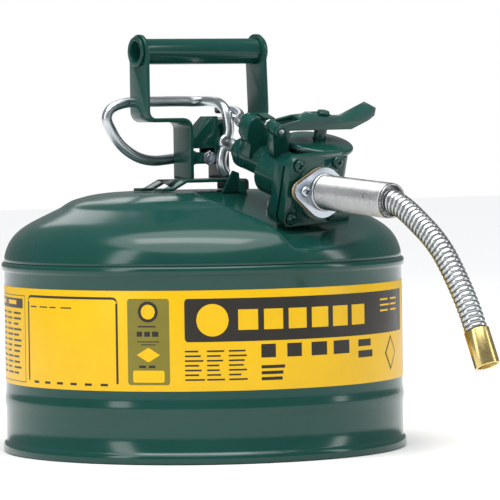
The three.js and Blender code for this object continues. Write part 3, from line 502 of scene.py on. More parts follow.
FINISHES = {
    "enamel": lambda s: finish_material(
        "green_enamel", shade(s.enamel, 1.08), shade(s.enamel, 0.9), (0.13, 0.20), cloud=9, relief=420,
        bump=s.peel, depth=0.0003, speck=0.04, specular=0.42),
    "label": lambda s: finish_material(
        "label_film", s.label, shade(s.label, 0.93), (0.30, 0.42), cloud=40, relief=2600, bump=0.06,
        specular=0.35, speck=0.04),
    "ink": lambda s: finish_material(
        "label_ink", shade(s.ink, 1.2), s.ink, (0.28, 0.40), cloud=60, relief=2600, bump=0.06, specular=0.35,
        speck=0.10),
    "olive": lambda s: finish_material(
        "label_olive_ink", (0.215, 0.185, 0.022), (0.185, 0.160, 0.018), (0.30, 0.42), cloud=60, relief=2600,
        bump=0.06, specular=0.35, speck=0.08),
    "zinc": lambda s: finish_material(
        "zinc_plate", (0.60, 0.65, 0.71), (0.44, 0.49, 0.54), (0.26, 0.42), metal=1.0, cloud=90,
        relief=1500, bump=0.12, depth=0.0001, stretch=(1.0, 1.0, 6.0), speck=0.2),
    # the spout's groove colour is painted shade in the grooves between its turned ridges
    "spout": lambda s: finish_material(
        "turned_zinc_spout", (0.66, 0.67, 0.68), (0.52, 0.53, 0.54), (0.24, 0.38), metal=1.0, cloud=80,
        relief=1500, bump=0.05, depth=0.0001, speck=0.0, groove_shade=(0.10, 0.095, 0.09)),
    "rod": lambda s: finish_material(
        "drawn_zinc_rod", (0.66, 0.70, 0.73), (0.50, 0.54, 0.57), (0.24, 0.38), metal=1.0, cloud=60,
        relief=1200, bump=0.10, depth=0.0001, stretch=(0.6, 14.0, 14.0), speck=0.2),
    # the hose's groove colour is painted shade in the grooves between its ribs
    "hose": lambda s: finish_material(
        "wound_steel_hose", (0.70, 0.72, 0.73), (0.48, 0.50, 0.51), (0.20, 0.36), metal=1.0, cloud=150,
        relief=1800, bump=0.12, depth=0.0001, stretch=(1.0, 1.0, 5.0), groove_shade=(0.05, 0.05, 0.05)),
    "steel": lambda s: finish_material(
        "bare_spring_steel", (0.46, 0.47, 0.48), (0.30, 0.31, 0.32), (0.26, 0.42), metal=1.0, cloud=120,
        relief=1600, bump=0.15, depth=0.0001, stretch=(1.0, 8.0, 1.0)),
    "brass": lambda s: finish_material(
        "turned_brass", (0.80, 0.64, 0.28), (0.60, 0.45, 0.17), (0.18, 0.34), metal=1.0, cloud=160,
        relief=1400, bump=0.14, depth=0.0001, stretch=(1.0, 4.0, 12.0), streak_scale=90),
    "rubber": lambda s: finish_material(
        "black_rubber", (0.030, 0.030, 0.030), (0.018, 0.018, 0.018), (0.60, 0.80), cloud=200,
        relief=2400, bump=0.3),
    "fibre": lambda s: finish_material(
        "pressed_fibre", (0.62, 0.40, 0.20), (0.48, 0.29, 0.13), (0.75, 0.92), cloud=400, relief=3000,
        bump=0.5, depth=0.0003, speck=0.5),
}


def look(name):
    """A finish by its name, made once."""
    key = "finish_" + name
    if key not in GROUPS:
        GROUPS[key] = FINISHES[name](bpy.context.scene.safety_can.finish)
    return GROUPS[key]


# ---------------------------------------------------------------- geometry node trees
def geometry_tree(name, inputs):
    """An empty geometry tree with named inputs and its input and output nodes."""
    tree = bpy.data.node_groups.new(name, "GeometryNodeTree")
    tree.interface.new_socket("Geometry", in_out="INPUT", socket_type="NodeSocketGeometry")
    for label, kind, value in inputs:
        socket = tree.interface.new_socket(label, in_out="INPUT", socket_type=kind)
        if value is not None:
            socket.default_value = value
    tree.interface.new_socket("Geometry", in_out="OUTPUT", socket_type="NodeSocketGeometry")
    return tree, tree.nodes.new("NodeGroupInput"), tree.nodes.new("NodeGroupOutput")


def set_inputs(modifier, values):
    """Sets a geometry modifier's inputs by their sockets' identifiers."""
    for item in modifier.node_group.interface.items_tree:
        if item.item_type == "SOCKET" and item.in_out == "INPUT" and item.name in values:
            modifier[item.identifier] = values[item.name]


def close_tree(tree, given, made, result):
    """Ends a tree in Realize Instances and Set Material."""
    real = tree.nodes.new("GeometryNodeRealizeInstances")
    soft = tree.nodes.new("GeometryNodeSetShadeSmooth")
    paint = tree.nodes.new("GeometryNodeSetMaterial")
    tree.links.new(result, real.inputs[0])
    tree.links.new(real.outputs[0], soft.inputs["Geometry"])
    tree.links.new(soft.outputs[0], paint.inputs["Geometry"])
    tree.links.new(given.outputs["Material"], paint.inputs["Material"])
    tree.links.new(paint.outputs[0], made.inputs["Geometry"])


def ribbed_tube_tree():
    """A tube along a curve with broad round ribs and narrow grooves at one pitch, the grooves masked for
    painted shade.
    """
    tree, given, made = geometry_tree(
        "ribbed_tube",
        [("Radius", "NodeSocketFloat", 0.0083), ("Pitch", "NodeSocketFloat", 0.0038),
         ("Depth", "NodeSocketFloat", 0.0011), ("Material", "NodeSocketMaterial", None)],
    )
    fine = tree.nodes.new("GeometryNodeResampleCurve")
    fine.mode = "LENGTH"
    tree.links.new(given.outputs["Geometry"], fine.inputs["Curve"])
    tree.links.new(maths(tree, "DIVIDE", given.outputs["Pitch"], 9.0), fine.inputs["Length"])
    along = tree.nodes.new("GeometryNodeSplineParameter").outputs["Length"]
    phase = maths(tree, "FRACT", maths(tree, "DIVIDE", along, given.outputs["Pitch"]))
    swing = maths(tree, "ABSOLUTE", maths(tree, "SUBTRACT", maths(tree, "MULTIPLY", phase, 2.0), 1.0))
    sunk = maths(tree, "POWER", swing, 4.0)
    cut = maths(tree, "MULTIPLY", sunk, given.outputs["Depth"])
    radius = maths(tree, "SUBTRACT", given.outputs["Radius"], cut)
    # the groove depth is stored as the mask for painted shade in the grooves
    store = tree.nodes.new("GeometryNodeStoreNamedAttribute")
    store.data_type = "FLOAT"
    store.inputs["Name"].default_value = "groove_shade"
    tree.links.new(fine.outputs[0], store.inputs["Geometry"])
    tree.links.new(sunk, store.inputs["Value"])
    thick = tree.nodes.new("GeometryNodeSetCurveRadius")
    tree.links.new(store.outputs[0], thick.inputs["Curve"])
    tree.links.new(radius, thick.inputs["Radius"])
    ring = tree.nodes.new("GeometryNodeCurvePrimitiveCircle")
    ring.inputs["Resolution"].default_value = 36
    ring.inputs["Radius"].default_value = 1.0
    tube = tree.nodes.new("GeometryNodeCurveToMesh")
    tube.inputs["Fill Caps"].default_value = True
    tree.links.new(thick.outputs[0], tube.inputs["Curve"])
    tree.links.new(ring.outputs["Curve"], tube.inputs["Profile Curve"])
    if "Scale" in tube.inputs:
        tree.links.new(radius, tube.inputs["Scale"])
    close_tree(tree, given, made, tube.outputs[0])
    return tree


def screws_tree():
    """One screw at each point, standing along the point's facing."""
    tree, given, made = geometry_tree(
        "screws_at_points",
        [("Screw", "NodeSocketObject", None), ("Material", "NodeSocketMaterial", None)],
    )
    screw = tree.nodes.new("GeometryNodeObjectInfo")
    tree.links.new(given.outputs["Screw"], screw.inputs["Object"])
    facing = tree.nodes.new("GeometryNodeInputNamedAttribute")
    facing.data_type = "FLOAT_VECTOR"
    facing.inputs["Name"].default_value = "facing"
    turn = tree.nodes.new("FunctionNodeAlignRotationToVector")
    turn.axis = "Z"
    tree.links.new(facing.outputs[0], turn.inputs["Vector"])
    spin = tree.nodes.new("FunctionNodeRotateRotation")
    spin.rotation_space = "LOCAL"
    tree.links.new(turn.outputs[0], spin.inputs["Rotation"])
    angle = tree.nodes.new("FunctionNodeRandomValue")
    angle.data_type = "FLOAT"
    angle.inputs["Seed"].default_value = 5
    limits = [s for s in angle.inputs if s.name in ("Min", "Max") and s.type == "VALUE"]
    limits[0].default_value = 0.0
    limits[1].default_value = 1.5
    combine = tree.nodes.new("ShaderNodeCombineXYZ")
    tree.links.new([s for s in angle.outputs if s.type == "VALUE"][0], combine.inputs["Z"])
    to_turn = tree.nodes.new("FunctionNodeEulerToRotation")
    tree.links.new(combine.outputs[0], to_turn.inputs[0])
    tree.links.new(to_turn.outputs[0], spin.inputs["Rotate By"])
    copies = tree.nodes.new("GeometryNodeInstanceOnPoints")
    tree.links.new(given.outputs["Geometry"], copies.inputs["Points"])
    tree.links.new(screw.outputs["Geometry"], copies.inputs["Instance"])
    tree.links.new(spin.outputs[0], copies.inputs["Rotation"])
    close_tree(tree, given, made, copies.outputs[0])
    return tree


# ---------------------------------------------------------------- pieces
def make_floor():
    """A wide pale floor."""
    bm = bmesh.new()
    bmesh.ops.create_grid(bm, x_segments=2, y_segments=2, size=6)
    floor = object_from(bm, "floor")
    pale = bpy.data.materials.new("pale_floor")
    pale.use_nodes = True
    matt = pale.node_tree.nodes["Principled BSDF"]
    matt.inputs["Base Color"].default_value = (0.87, 0.87, 0.87, 1)
    matt.inputs["Roughness"].default_value = 0.9
    floor.data.materials.append(pale)


def make_world():
    """A white surround to the eye, and a dim pale sky to everything else."""
    world = bpy.data.worlds.new("studio")
    bpy.context.scene.world = world
    world.use_nodes = True
    sky = world.node_tree
    dim = sky.nodes["Background"]
    dim.inputs["Color"].default_value = (0.90, 0.94, 0.97, 1)
    dim.inputs["Strength"].default_value = 0.26
    bright = sky.nodes.new("ShaderNodeBackground")
    bright.inputs["Color"].default_value = (1, 1, 1, 1)
    seen = sky.nodes.new("ShaderNodeMixShader")
    sky.links.new(sky.nodes.new("ShaderNodeLightPath").outputs["Is Camera Ray"], seen.inputs[0])
    sky.links.new(dim.outputs[0], seen.inputs[1])
    sky.links.new(bright.outputs[0], seen.inputs[2])
    sky.links.new(seen.outputs[0], sky.nodes["World Output"].inputs["Surface"])
    bpy.context.scene.view_settings.view_transform = "Standard"


def make_lights():
    """A wide sun overhead and four softboxes."""
    overhead = bpy.data.lights.new("overhead", "SUN")
    overhead.energy = 2.8
    overhead.angle = math.radians(70)
    overhead.specular_factor = 0.0
    sun = bpy.data.objects.new("overhead", overhead)
    sun.rotation_euler = (math.radians(12), math.radians(-10), 0)
    bpy.context.scene.collection.objects.link(sun)
    look_at = AXIS + UP * AIM_HEIGHT
    for name, place, width, height, power in LAMPS:
        light = bpy.data.lights.new(name, "AREA")
        light.shape = "RECTANGLE"
        light.size = width
        light.size_y = height
        light.energy = power
        lamp = bpy.data.objects.new(name, light)
        lamp.location = place
        lamp.rotation_euler = (look_at - Vector(place)).to_track_quat("-Z", "Y").to_euler()
        bpy.context.scene.collection.objects.link(lamp)


def make_camera():
    """The camera, at its heading and height."""
    stage = bpy.context.scene.safety_can.stage
    camera = bpy.data.objects.new("camera", bpy.data.cameras.new("camera"))
    bpy.context.scene.collection.objects.link(camera)
    ahead = Vector((math.cos(stage.heading), math.sin(stage.heading), 0))
    camera.location = AXIS - ahead * stage.distance + UP * stage.height
    yaw = stage.heading - CAMERA_TURN
    flat = math.cos(CAMERA_DROP)
    gaze = Vector((math.cos(yaw) * flat, math.sin(yaw) * flat, -math.sin(CAMERA_DROP)))
    camera.rotation_mode = "QUATERNION"
    level = gaze.to_track_quat("-Z", "Y")
    camera.rotation_quaternion = level @ Matrix.Rotation(CAMERA_ROLL, 3, "Z").to_quaternion()
    camera.data.lens = stage.lens
    camera.data.sensor_width = SENSOR_WIDTH
    camera.data.clip_end = 50
    bpy.context.scene.camera = camera


def make_stage():
    """Pale floor, surround, soft lights and the camera."""
    make_floor()
    make_world()
    make_lights()
    make_camera()


def finished_copy(node, finish, slot, corner=None):
    """A CAD node's shape with merged faces, rounded edges and its own finish."""
    source = frame["nodes"][node]
    bm = bmesh.new()
    bm.from_mesh(source.data)
    bmesh.ops.remove_doubles(bm, verts=bm.verts, dist=CAD_WELD)
    bmesh.ops.dissolve_limit(bm, angle_limit=FLAT_ENOUGH, verts=bm.verts, edges=bm.edges)
    bm.normal_update()
    piece = object_from(bm, node + "_finished", look(finish))
    if corner:
        edge = piece.modifiers.new("rounded_edges", "BEVEL")
        edge.width = corner
        edge.segments = 3
        edge.limit_method = "ANGLE"
        edge.angle_limit = math.radians(CAD_CREASE)
        edge.harden_normals = True
        edge.use_clamp_overlap = True
    else:
        sharpen(piece, CAD_CREASE)
    return settle(piece, source["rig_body"], slot, node)


def spout_mouth():
    """The spout's open end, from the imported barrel."""
    low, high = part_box("spout_barrel")
    middle = (low + high) / 2
    reach = max((v.co - middle).dot(SPOUT_AXIS) for v in frame["nodes"]["spout_barrel"].data.vertices)
    return middle + SPOUT_AXIS * reach


def tube_along(name, paths, radius, pitch, depth, finish):
    """Tubes along paths, ribbed at a pitch where the depth is more than nothing."""
    line = bpy.data.curves.new(name + "_line", "CURVE")
    line.dimensions = "3D"
    for path in paths:
        spline = line.splines.new("POLY")
        spline.points.add(len(path) - 1)
        for point, place in zip(spline.points, path):
            point.co = (*place, 1)
    guide = bpy.data.objects.new(name + "_line", line)
    bpy.context.scene.collection.objects.link(guide)
    ribs = guide.modifiers.new("ribs", "NODES")
    ribs.node_group = shared_group("ribbed_tube", ribbed_tube_tree)
    set_inputs(ribs, {"Radius": radius, "Pitch": pitch, "Depth": depth, "Material": look(finish)})
    return plain_mesh(guide, name, look(finish))


def make_hose():
    """The free hose, wound in broad ribs, with its ferrule."""
    sizes = bpy.context.scene.safety_can.hose
    mouth = spout_mouth()
    route = [mouth + SPOUT_LEVEL * along + UP * up for along, up in HOSE_ROUTE]
    path = smooth_line(route, HOSE_STEPS)
    hose = tube_along("flexible_hose", [path], sizes.radius, sizes.pitch, sizes.depth, "hose")
    ferrule = finished_copy("hose_ferrule", "brass", "brass", 0.0005)
    settle(hose, "can", "zinc_plate", "hose")


def make_shells():
    """Wall with its rolled foot and beads, and the bottom pan."""
    shell = bpy.context.scene.safety_can.shell
    for name, outline, node in (("can_wall", WALL_OUTLINE, "can_body_shell"),
                                ("can_floor_pan", PAN_OUTLINE, "bottom_pan")):
        bm = bmesh.new()
        lathe(bm, outline, shell.sides, Matrix.Translation(AXIS))
        piece = sharpen(object_from(bm, name, look("enamel")), SHELL_CREASE)
        settle(piece, "can", "green_enamel", node)


def outside(x, y, corners):
    """Distance from a plan, and nothing inside it."""
    inside = False
    nearest = 1e9
    for (ax, ay), (bx, by) in zip(corners, corners[1:] + corners[:1]):
        if (ay > y) != (by > y) and x < (bx - ax) * (y - ay) / (by - ay) + ax:
            inside = not inside
        run = (bx - ax) ** 2 + (by - ay) ** 2
        share = max(0, min(1, ((x - ax) * (bx - ax) + (y - ay) * (by - ay)) / run))
        nearest = min(nearest, math.hypot(x - ax - share * (bx - ax), y - ay - share * (by - ay)))
    return 0 if inside else nearest


def lower_of(a, b, rounding):
    """The lower of two heights, with the corner between them rounded."""
    blend = max(rounding - abs(a - b), 0) / rounding
    return min(a, b) - blend * blend * rounding / 4


def dome_point(radius, height, turn):
    """A point of the dome after its slanted flat is pressed in, from the can's axis in millimetres."""
    x = radius * math.cos(turn)
    y = radius * math.sin(turn)
    slant = PLATEAU + (y - FLAT_START) * math.tan(FLAT_TILT) + FLAT_BANK * outside(x, y, FLAT_PLAN)
    return Vector((x, y, lower_of(height, slant, FLAT_ROUNDING)))


def dome_rings(count):
    """The dome's outline from its rim to its middle, as evenly spaced [radius, height] pairs."""
    outline = [(p.x, p.y) for p in smooth_line([(r, z, 0) for r, z in DOME_OUTLINE], 12)]
    reach = [0.0]
    for (r0, z0), (r1, z1) in zip(outline, outline[1:]):
        reach.append(reach[-1] + math.hypot(r1 - r0, z1 - z0))
    rings = []
    for step in range(count + 1):
        want = reach[-1] * step / count
        i = min(next(k for k in range(1, len(reach)) if reach[k] >= want - 1e-9), len(reach) - 1)
        share = (want - reach[i - 1]) / max(reach[i] - reach[i - 1], 1e-9)
        rings.append(tuple(a + (b - a) * share for a, b in zip(outline[i - 1], outline[i])))
    return rings


def dome_skin(bm, rings, sides, drop, tuck):
    """The corners of one skin of the dome, sunk by a drop and tucked in near the rim."""
    sunk = Vector((0, 0, -drop))
    layer = []
    for r, z in rings[:-1]:
        radius = r - (tuck if r > LIP_R else 0)
        turns = [2 * math.pi * k / sides for k in range(sides)]
        layer.append([bm.verts.new(AXIS + (dome_point(radius, z, turn) + sunk) * MM) for turn in turns])
    return layer


def make_dome():
    """The domed top with the slanted flat pressed into it, as one closed sheet."""
    shell = bpy.context.scene.safety_can.shell
    rings = dome_rings(shell.rings)
    bm = bmesh.new()
    sides = shell.sides + shell.sides // 2
    layers = [dome_skin(bm, rings, sides, 0, 0), dome_skin(bm, rings, sides, SHEET, LIP_TUCK)]
    for number, layer in enumerate(layers):
        for ring, after in zip(layer, layer[1:]):
            for k in range(sides):
                j = (k + 1) % sides
                bm.faces.new((ring[k], ring[j], after[j], after[k]))
        pole = bm.verts.new(AXIS + UP * (PLATEAU - SHEET * number) * MM)
        for k in range(sides):
            bm.faces.new((layer[-1][k], layer[-1][(k + 1) % sides], pole))
    for k in range(sides):
        j = (k + 1) % sides
        bm.faces.new((layers[0][0][j], layers[0][0][k], layers[1][0][k], layers[1][0][j]))
    bmesh.ops.recalc_face_normals(bm, faces=bm.faces)
    dome = sharpen(object_from(bm, "can_dome", look("enamel")), SHELL_CREASE)
    settle(dome, "can", "green_enamel", "dome_top")


class Print:
    """Collects shapes printed on the label, each a thin closed skin that follows the can's wall."""

    def __init__(self, name, finish, layer):
        self.name = name
        self.finish = finish
        self.radius = LABEL_R + PRINT_STEP * layer
        self.bm = bmesh.new()

    def skin(self, left, right, low, high, step=1.2):
        """From left to right in degrees; low and high give the heights at a share of the width."""
        count = max(2, math.ceil(abs(right - left) / step))
        inner = self.radius - PRINT_SKIN
        columns = []
        for i in range(count + 1):
            share = i / count
            turn = math.radians(LABEL_FRONT + left + (right - left) * share)
            corners = []
            for radius, height in ((self.radius, low(share)), (self.radius, high(share)),
                                   (inner, high(share)), (inner, low(share))):
                spot = Vector((radius * math.cos(turn), radius * math.sin(turn), height)) * MM
                corners.append(self.bm.verts.new(AXIS + spot))
            columns.append(corners)
        for a, b in zip(columns, columns[1:]):
            for i in range(4):
                j = (i + 1) % 4
                self.bm.faces.new((a[i], b[i], b[j], a[j]))
        self.bm.faces.new(columns[0])
        self.bm.faces.new(columns[-1][::-1])

    def bar(self, left, right, low, high):
        """A plain upright block."""
        self.skin(left, right, lambda s: low, lambda s: high, 3.0)

    def panel(self, left, right, low, high, corner=2.5):
        """A bar with round corners."""
        width = math.radians(right - left) * self.radius

        def inset(share):
            edge = min(share, 1 - share) * width
            return corner - math.sqrt(max(corner ** 2 - max(corner - edge, 0) ** 2, 0))

        self.skin(left, right, lambda s: low + inset(s), lambda s: high - inset(s), 0.25)

    def disc(self, middle, height, radius):
        """A round spot."""
        half = math.degrees(radius / self.radius)

        def tall(share):
            return radius * math.sqrt(max(1 - (2 * share - 1) ** 2, 0.0004))

        self.skin(middle - half, middle + half, lambda s: height - tall(s), lambda s: height + tall(s), 0.3)

    def diamond(self, middle, height, half_width, half_height):
        """A square on its corner."""
        half = math.degrees(half_width / self.radius)

        def tall(share):
            return half_height * max(1 - abs(2 * share - 1), 0.01)

        self.skin(middle - half, middle + half, lambda s: height - tall(s), lambda s: height + tall(s), 0.3)

    def frame(self, left, right, low, high, line=0.6):
        """A square-cornered frame."""
        side = math.degrees(line / self.radius)
        self.bar(left, right, high - line, high)
        self.bar(left, right, low, low + line)
        self.bar(left, left + side, low + line, high - line)
        self.bar(right - side, right, low + line, high - line)

    def note_frame(self, left, right, low, high, line=1.7, corner=4.5):
        """A round-cornered frame, solid round three sides and dashed along the bottom."""
        side = math.degrees(line / self.radius)
        turn = math.degrees(corner / self.radius)

        def arch(share):
            edge = min(share, 1 - share) * math.radians(right - left) * self.radius
            return high - corner + math.sqrt(max(corner ** 2 - max(corner - edge, 0) ** 2, 0))

        self.skin(left, right, lambda s: arch(s) - line, arch, 0.3)
        for start in (left, right - side):
            self.bar(start, start + side, low + line, high - corner)
        for dash in range(NOTE_DASHES):
            start = left + turn + (right - left - 2 * turn) * (dash + 0.25) / NOTE_DASHES
            self.bar(start, start + (right - left) / 15, low, low + line)

    def rows(self, left, right, low, high, count, weight, seed, words=3):
        """Plain dashes of uneven length in rows, where small print would stand."""
        dice = random.Random(seed)
        pitch = (high - low) / count
        room = (right - left) / words
        for row in range(count):
            top = high - row * pitch
            at = left
            for word in range(words):
                width = room * dice.uniform(0.55, 0.9)
                self.bar(at, at + width, top - weight, top)
                at += room

    def done(self):
        """Ends the layer as one piece on the can."""
        bmesh.ops.recalc_face_normals(self.bm, faces=self.bm.faces)
        piece = sharpen(object_from(self.bm, self.name, look(self.finish)), SHELL_CREASE)
        return settle(piece, "can", "label_film")


def make_band():
    """The label's yellow ground, a thin band with soft edges."""
    bm = bmesh.new()
    back = WALL_R + 0.04
    middle = 87
    outline = [
        (back, LABEL_LOW), (LABEL_R - 0.05, LABEL_LOW), (LABEL_R, LABEL_LOW + 0.2), (LABEL_R, middle),
        (LABEL_R, LABEL_HIGH - 0.2), (LABEL_R - 0.05, LABEL_HIGH), (back, LABEL_HIGH), (back, middle),
    ]
    lathe(bm, outline, bpy.context.scene.safety_can.shell.sides, Matrix.Translation(AXIS))
    band = sharpen(object_from(bm, "label_ground", look("label")), SHELL_CREASE)
    settle(band, "can", "label_film", "label_band")


def make_label():
    """The yellow band round the can and its plain generic print.

    A shape's left and right are degrees round the can from the label's front, its heights millimetres."""
    make_band()
    ink = Print("label_dark_print", "ink", 1)
    olive = Print("label_olive_print", "olive", 1)
    fine = Print("label_fine_print", "ink", 2)
    light = Print("label_light_print", "label", 3)
    # front: title panel with a plain disc and a row of equal blocks
    ink.panel(-5.3, 78.3, 87.0, 117.6)
    light.disc(2.4, 102.3, 11.5)
    for number in range(6):
        left = 9.5 + 7.3 * number
        light.bar(left, left + 5.6, 95.0, 109.5)
    light.rows(60, 74, 100, 112, 3, 1.3, 11, 2)
    # below the title: a ruled table, a heading, small rows and a plain hazard diamond
    ink.rows(-5.3, 12.8, 57.5, 81.0, 7, 1.2, 21, 3)
    ink.rows(15.9, 46.5, 73.0, 84.6, 1, 9.6, 31, 4)
    ink.rows(15.9, 26.0, 57.0, 69.6, 3, 2.3, 41, 1)
    ink.rows(48.7, 58.0, 68.0, 84.0, 2, 5.0, 51, 1)
    ink.diamond(67.0, 72.0, 10.5, 13.0)
    light.diamond(67.0, 72.0, 8.6, 10.6)
    # left of the title: olive panel with a round sign, bars and a plain mark
    olive.panel(-21.5, -9.5, 56.7, 117.8, 2.0)
    fine.disc(-15.5, 108.5, 7.4)
    light.disc(-15.5, 108.5, 5.2)
    fine.rows(-18.4, -12.6, 95.2, 98.6, 1, 1.0, 62, 1)
    fine.rows(-18.8, -12.2, 90.0, 94.6, 1, 3.6, 61, 3)
    fine.bar(-18.6, -12.4, 87.0, 87.7)
    fine.bar(-17.6, -13.4, 84.9, 85.6)
    light.diamond(-15.5, 78.0, 8.6, 5.2)
    fine.rows(-18.2, -12.6, 68.0, 70.6, 1, 1.8, 63, 2)
    light.panel(-20.0, -11.0, 58.5, 67.0, 1.2)
    # open panel for notes, and the panels round the sides and back
    for left, right, seed in ((-59.3, -24.4, 71), (84.0, 118.0, 72), (152.0, 186.0, 73)):
        ink.note_frame(left, right, 55.5, 118.8)
        ink.rows(left + 1.6, left + 20.0, 109.0, 111.0, 1, 0.9, seed, 4)
    for left, right, seed in ((-98.0, -61.2, 81), (121.0, 149.0, 82), (189.0, 259.0, 83)):
        ink.frame(left, right, 55.0, 118.0, 0.5)
        ink.bar(left + 1.5, right - 1.5, 108.5, 115.5)
        ink.rows(left + 2, right - 2, 58.0, 105.5, 12, 1.5, seed, 5)
        light.rows(left + 4, right - 4, 110.0, 114.0, 1, 3.0, seed + 10, 3)
    for sheet in (ink, olive, fine, light):
        sheet.done()


def make_spout():
    """The spout tube with its fine turned ridges, inside the flange."""
    low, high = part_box("spout_barrel")
    middle = (low + high) / 2
    along = [(v.co - middle).dot(SPOUT_AXIS) / MM for v in frame["nodes"]["spout_barrel"].data.vertices]
    start, end = min(along), max(along)
    pitch, rise, radius, bore = RIDGE_PITCH, RIDGE_RISE, SPOUT_R, SPOUT_BORE
    outline = [(bore, start), (radius + 0.8, start), (radius + 1, start + 0.3), (radius + 1, start + 1.9),
               (radius + 0.7, start + 2.2), (radius - rise, start + 2.4)]
    ridges = int((end - start - 4.4) / pitch)
    for number in range(ridges):
        foot = start + 2.6 + pitch * number
        outline += [(radius - rise, foot), (radius - 0.1, foot + 0.3 * pitch), (radius, foot + 0.5 * pitch),
                    (radius - 0.1, foot + 0.7 * pitch)]
    outline += [(radius - rise, end - 1.6), (radius - 0.3, end - 1.2), (radius - 0.3, end - 0.2),
                (radius - 0.5, end), (bore + 0.2, end), (bore, end - 0.2)]
    bm = bmesh.new()
    lathe(bm, outline, 72, standing(SPOUT_AXIS, middle))
    barrel = sharpen(object_from(bm, "ridged_spout", look("spout")), TURNED_CREASE)
    # the grooves between the ridges get a mask for painted shade
    groove_shade_mask = barrel.data.attributes.new("groove_shade", "FLOAT", "POINT")
    for vert, item in zip(barrel.data.vertices, groove_shade_mask.data):
        spoke = vert.co - middle
        reach = (spoke - SPOUT_AXIS * spoke.dot(SPOUT_AXIS)).length / MM
        item.value = RIDGE_PAINTED_SHADE if bore + 0.5 < reach < radius - 0.6 * rise else 0.0
    settle(barrel, "can", "zinc_plate", "spout_barrel")


def screw_head(radius, height):
    """A pan head with a cross recess on a short shank, its seat at the origin, as a hidden pattern."""
    bm = bmesh.new()
    r = radius / MM
    h = height / MM
    outline = [
        (0, -4), (0.5 * r, -4), (0.5 * r, 0), (r - 0.2, 0), (r, 0.2), (r, 0.35 * h),
        (0.93 * r, 0.62 * h), (0.78 * r, 0.84 * h), (0.5 * r, 0.97 * h), (0, h),
    ]
    lathe(bm, outline, 40)
    head = object_from(bm, "screw_pattern")
    cut = bmesh.new()
    for turn in (0, math.pi / 2):
        made = bmesh.ops.create_cube(cut, size=1)["verts"]
        for vert in made:
            # each arm of the cross tapers from the head's top down into it
            long, wide, level = (0.62, 1.3, 1.1) if vert.co.z > 0 else (0.34, 0.8, 0.25)
            place = Vector((vert.co.x * 2 * long * radius, vert.co.y * 0.2 * radius * wide, height * level))
            vert.co = Matrix.Rotation(turn, 3, "Z") @ place
    cutter = object_from(cut, "recess_pattern")
    recess = head.modifiers.new("recess", "BOOLEAN")
    recess.operation = "DIFFERENCE"
    recess.solver = "EXACT"
    recess.use_self = True
    recess.object = cutter
    pattern = plain_mesh(head, "screw_pattern_cut")
    bpy.data.objects.remove(cutter)
    sharpen(pattern, SMALL_CREASE)
    return pattern


def make_screws():
    """The cover's four screws and the flange's two, each group one piece."""
    tree = screws_tree()
    groups = [
        ("cover_screw_heads", [f"cover_screw_{i}" for i in (1, 2, 3, 4)], PLATE_AXIS, COVER_HEAD, "enamel",
         "green_enamel"),
        ("flange_screw_heads", ["flange_screw_1", "flange_screw_2"], SPOUT_AXIS, FLANGE_HEAD, "zinc",
         "zinc_plate"),
    ]
    for name, nodes, facing, (radius, height), finish, slot in groups:
        pattern = screw_head(radius, height)
        places = []
        for node in nodes:
            low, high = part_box(node)
            middle = (low + high) / 2
            reach = max((v.co - middle).dot(facing) for v in frame["nodes"][node].data.vertices)
            places.append(middle + facing * (reach - height))
        mesh = bpy.data.meshes.new("screw_points")
        mesh.from_pydata([tuple(p) for p in places], [], [])
        directions = mesh.attributes.new("facing", "FLOAT_VECTOR", "POINT")
        for item in directions.data:
            item.vector = facing
        points = bpy.data.objects.new("screw_points", mesh)
        bpy.context.scene.collection.objects.link(points)
        copies = points.modifiers.new("screws", "NODES")
        copies.node_group = tree
        set_inputs(copies, {"Screw": pattern, "Material": look(finish)})
        piece = plain_mesh(points, name, look(finish))
        bpy.data.objects.remove(pattern)
        settle(sharpen(piece, SMALL_CREASE), "can", slot, *nodes)


def rod_path(points):
    """A rod's points from the can's axis as a smooth line in place."""
    return smooth_line([AXIS + Vector(p) * MM for p in points], ROD_STEPS)


def make_rods():
    """The trigger's bent rod with its eye, and the finger that works the vent."""
    paths = [rod_path(line) for line in (BAIL_OVER, BAIL_UNDER)]
    tubes = tube_along("bail_tubes", paths, BAIL_R * MM, ROD_PITCH * MM, 0.0, "rod")
    bm = bmesh.new()
    bm.from_mesh(tubes.data)
    bpy.data.objects.remove(tubes)
    lathe(bm, EYE_OUTLINE, 48, standing(Vector((0, 1, 0)), AXIS + Vector(PIVOT) * MM))
    bail = sharpen(object_from(bm, "trigger_bent_rod", look("rod")), SHELL_CREASE)
    settle(bail, "trigger", "zinc_plate", "trigger_bail")
    path = rod_path(VENT_FINGER)
    tube = tube_along("vent_bent_finger", [path], VENT_R * MM, ROD_PITCH * MM, 0.0, "rod")
    finger = sharpen(tube, SHELL_CREASE)
    settle(finger, "trigger", "zinc_plate", "vent_finger")


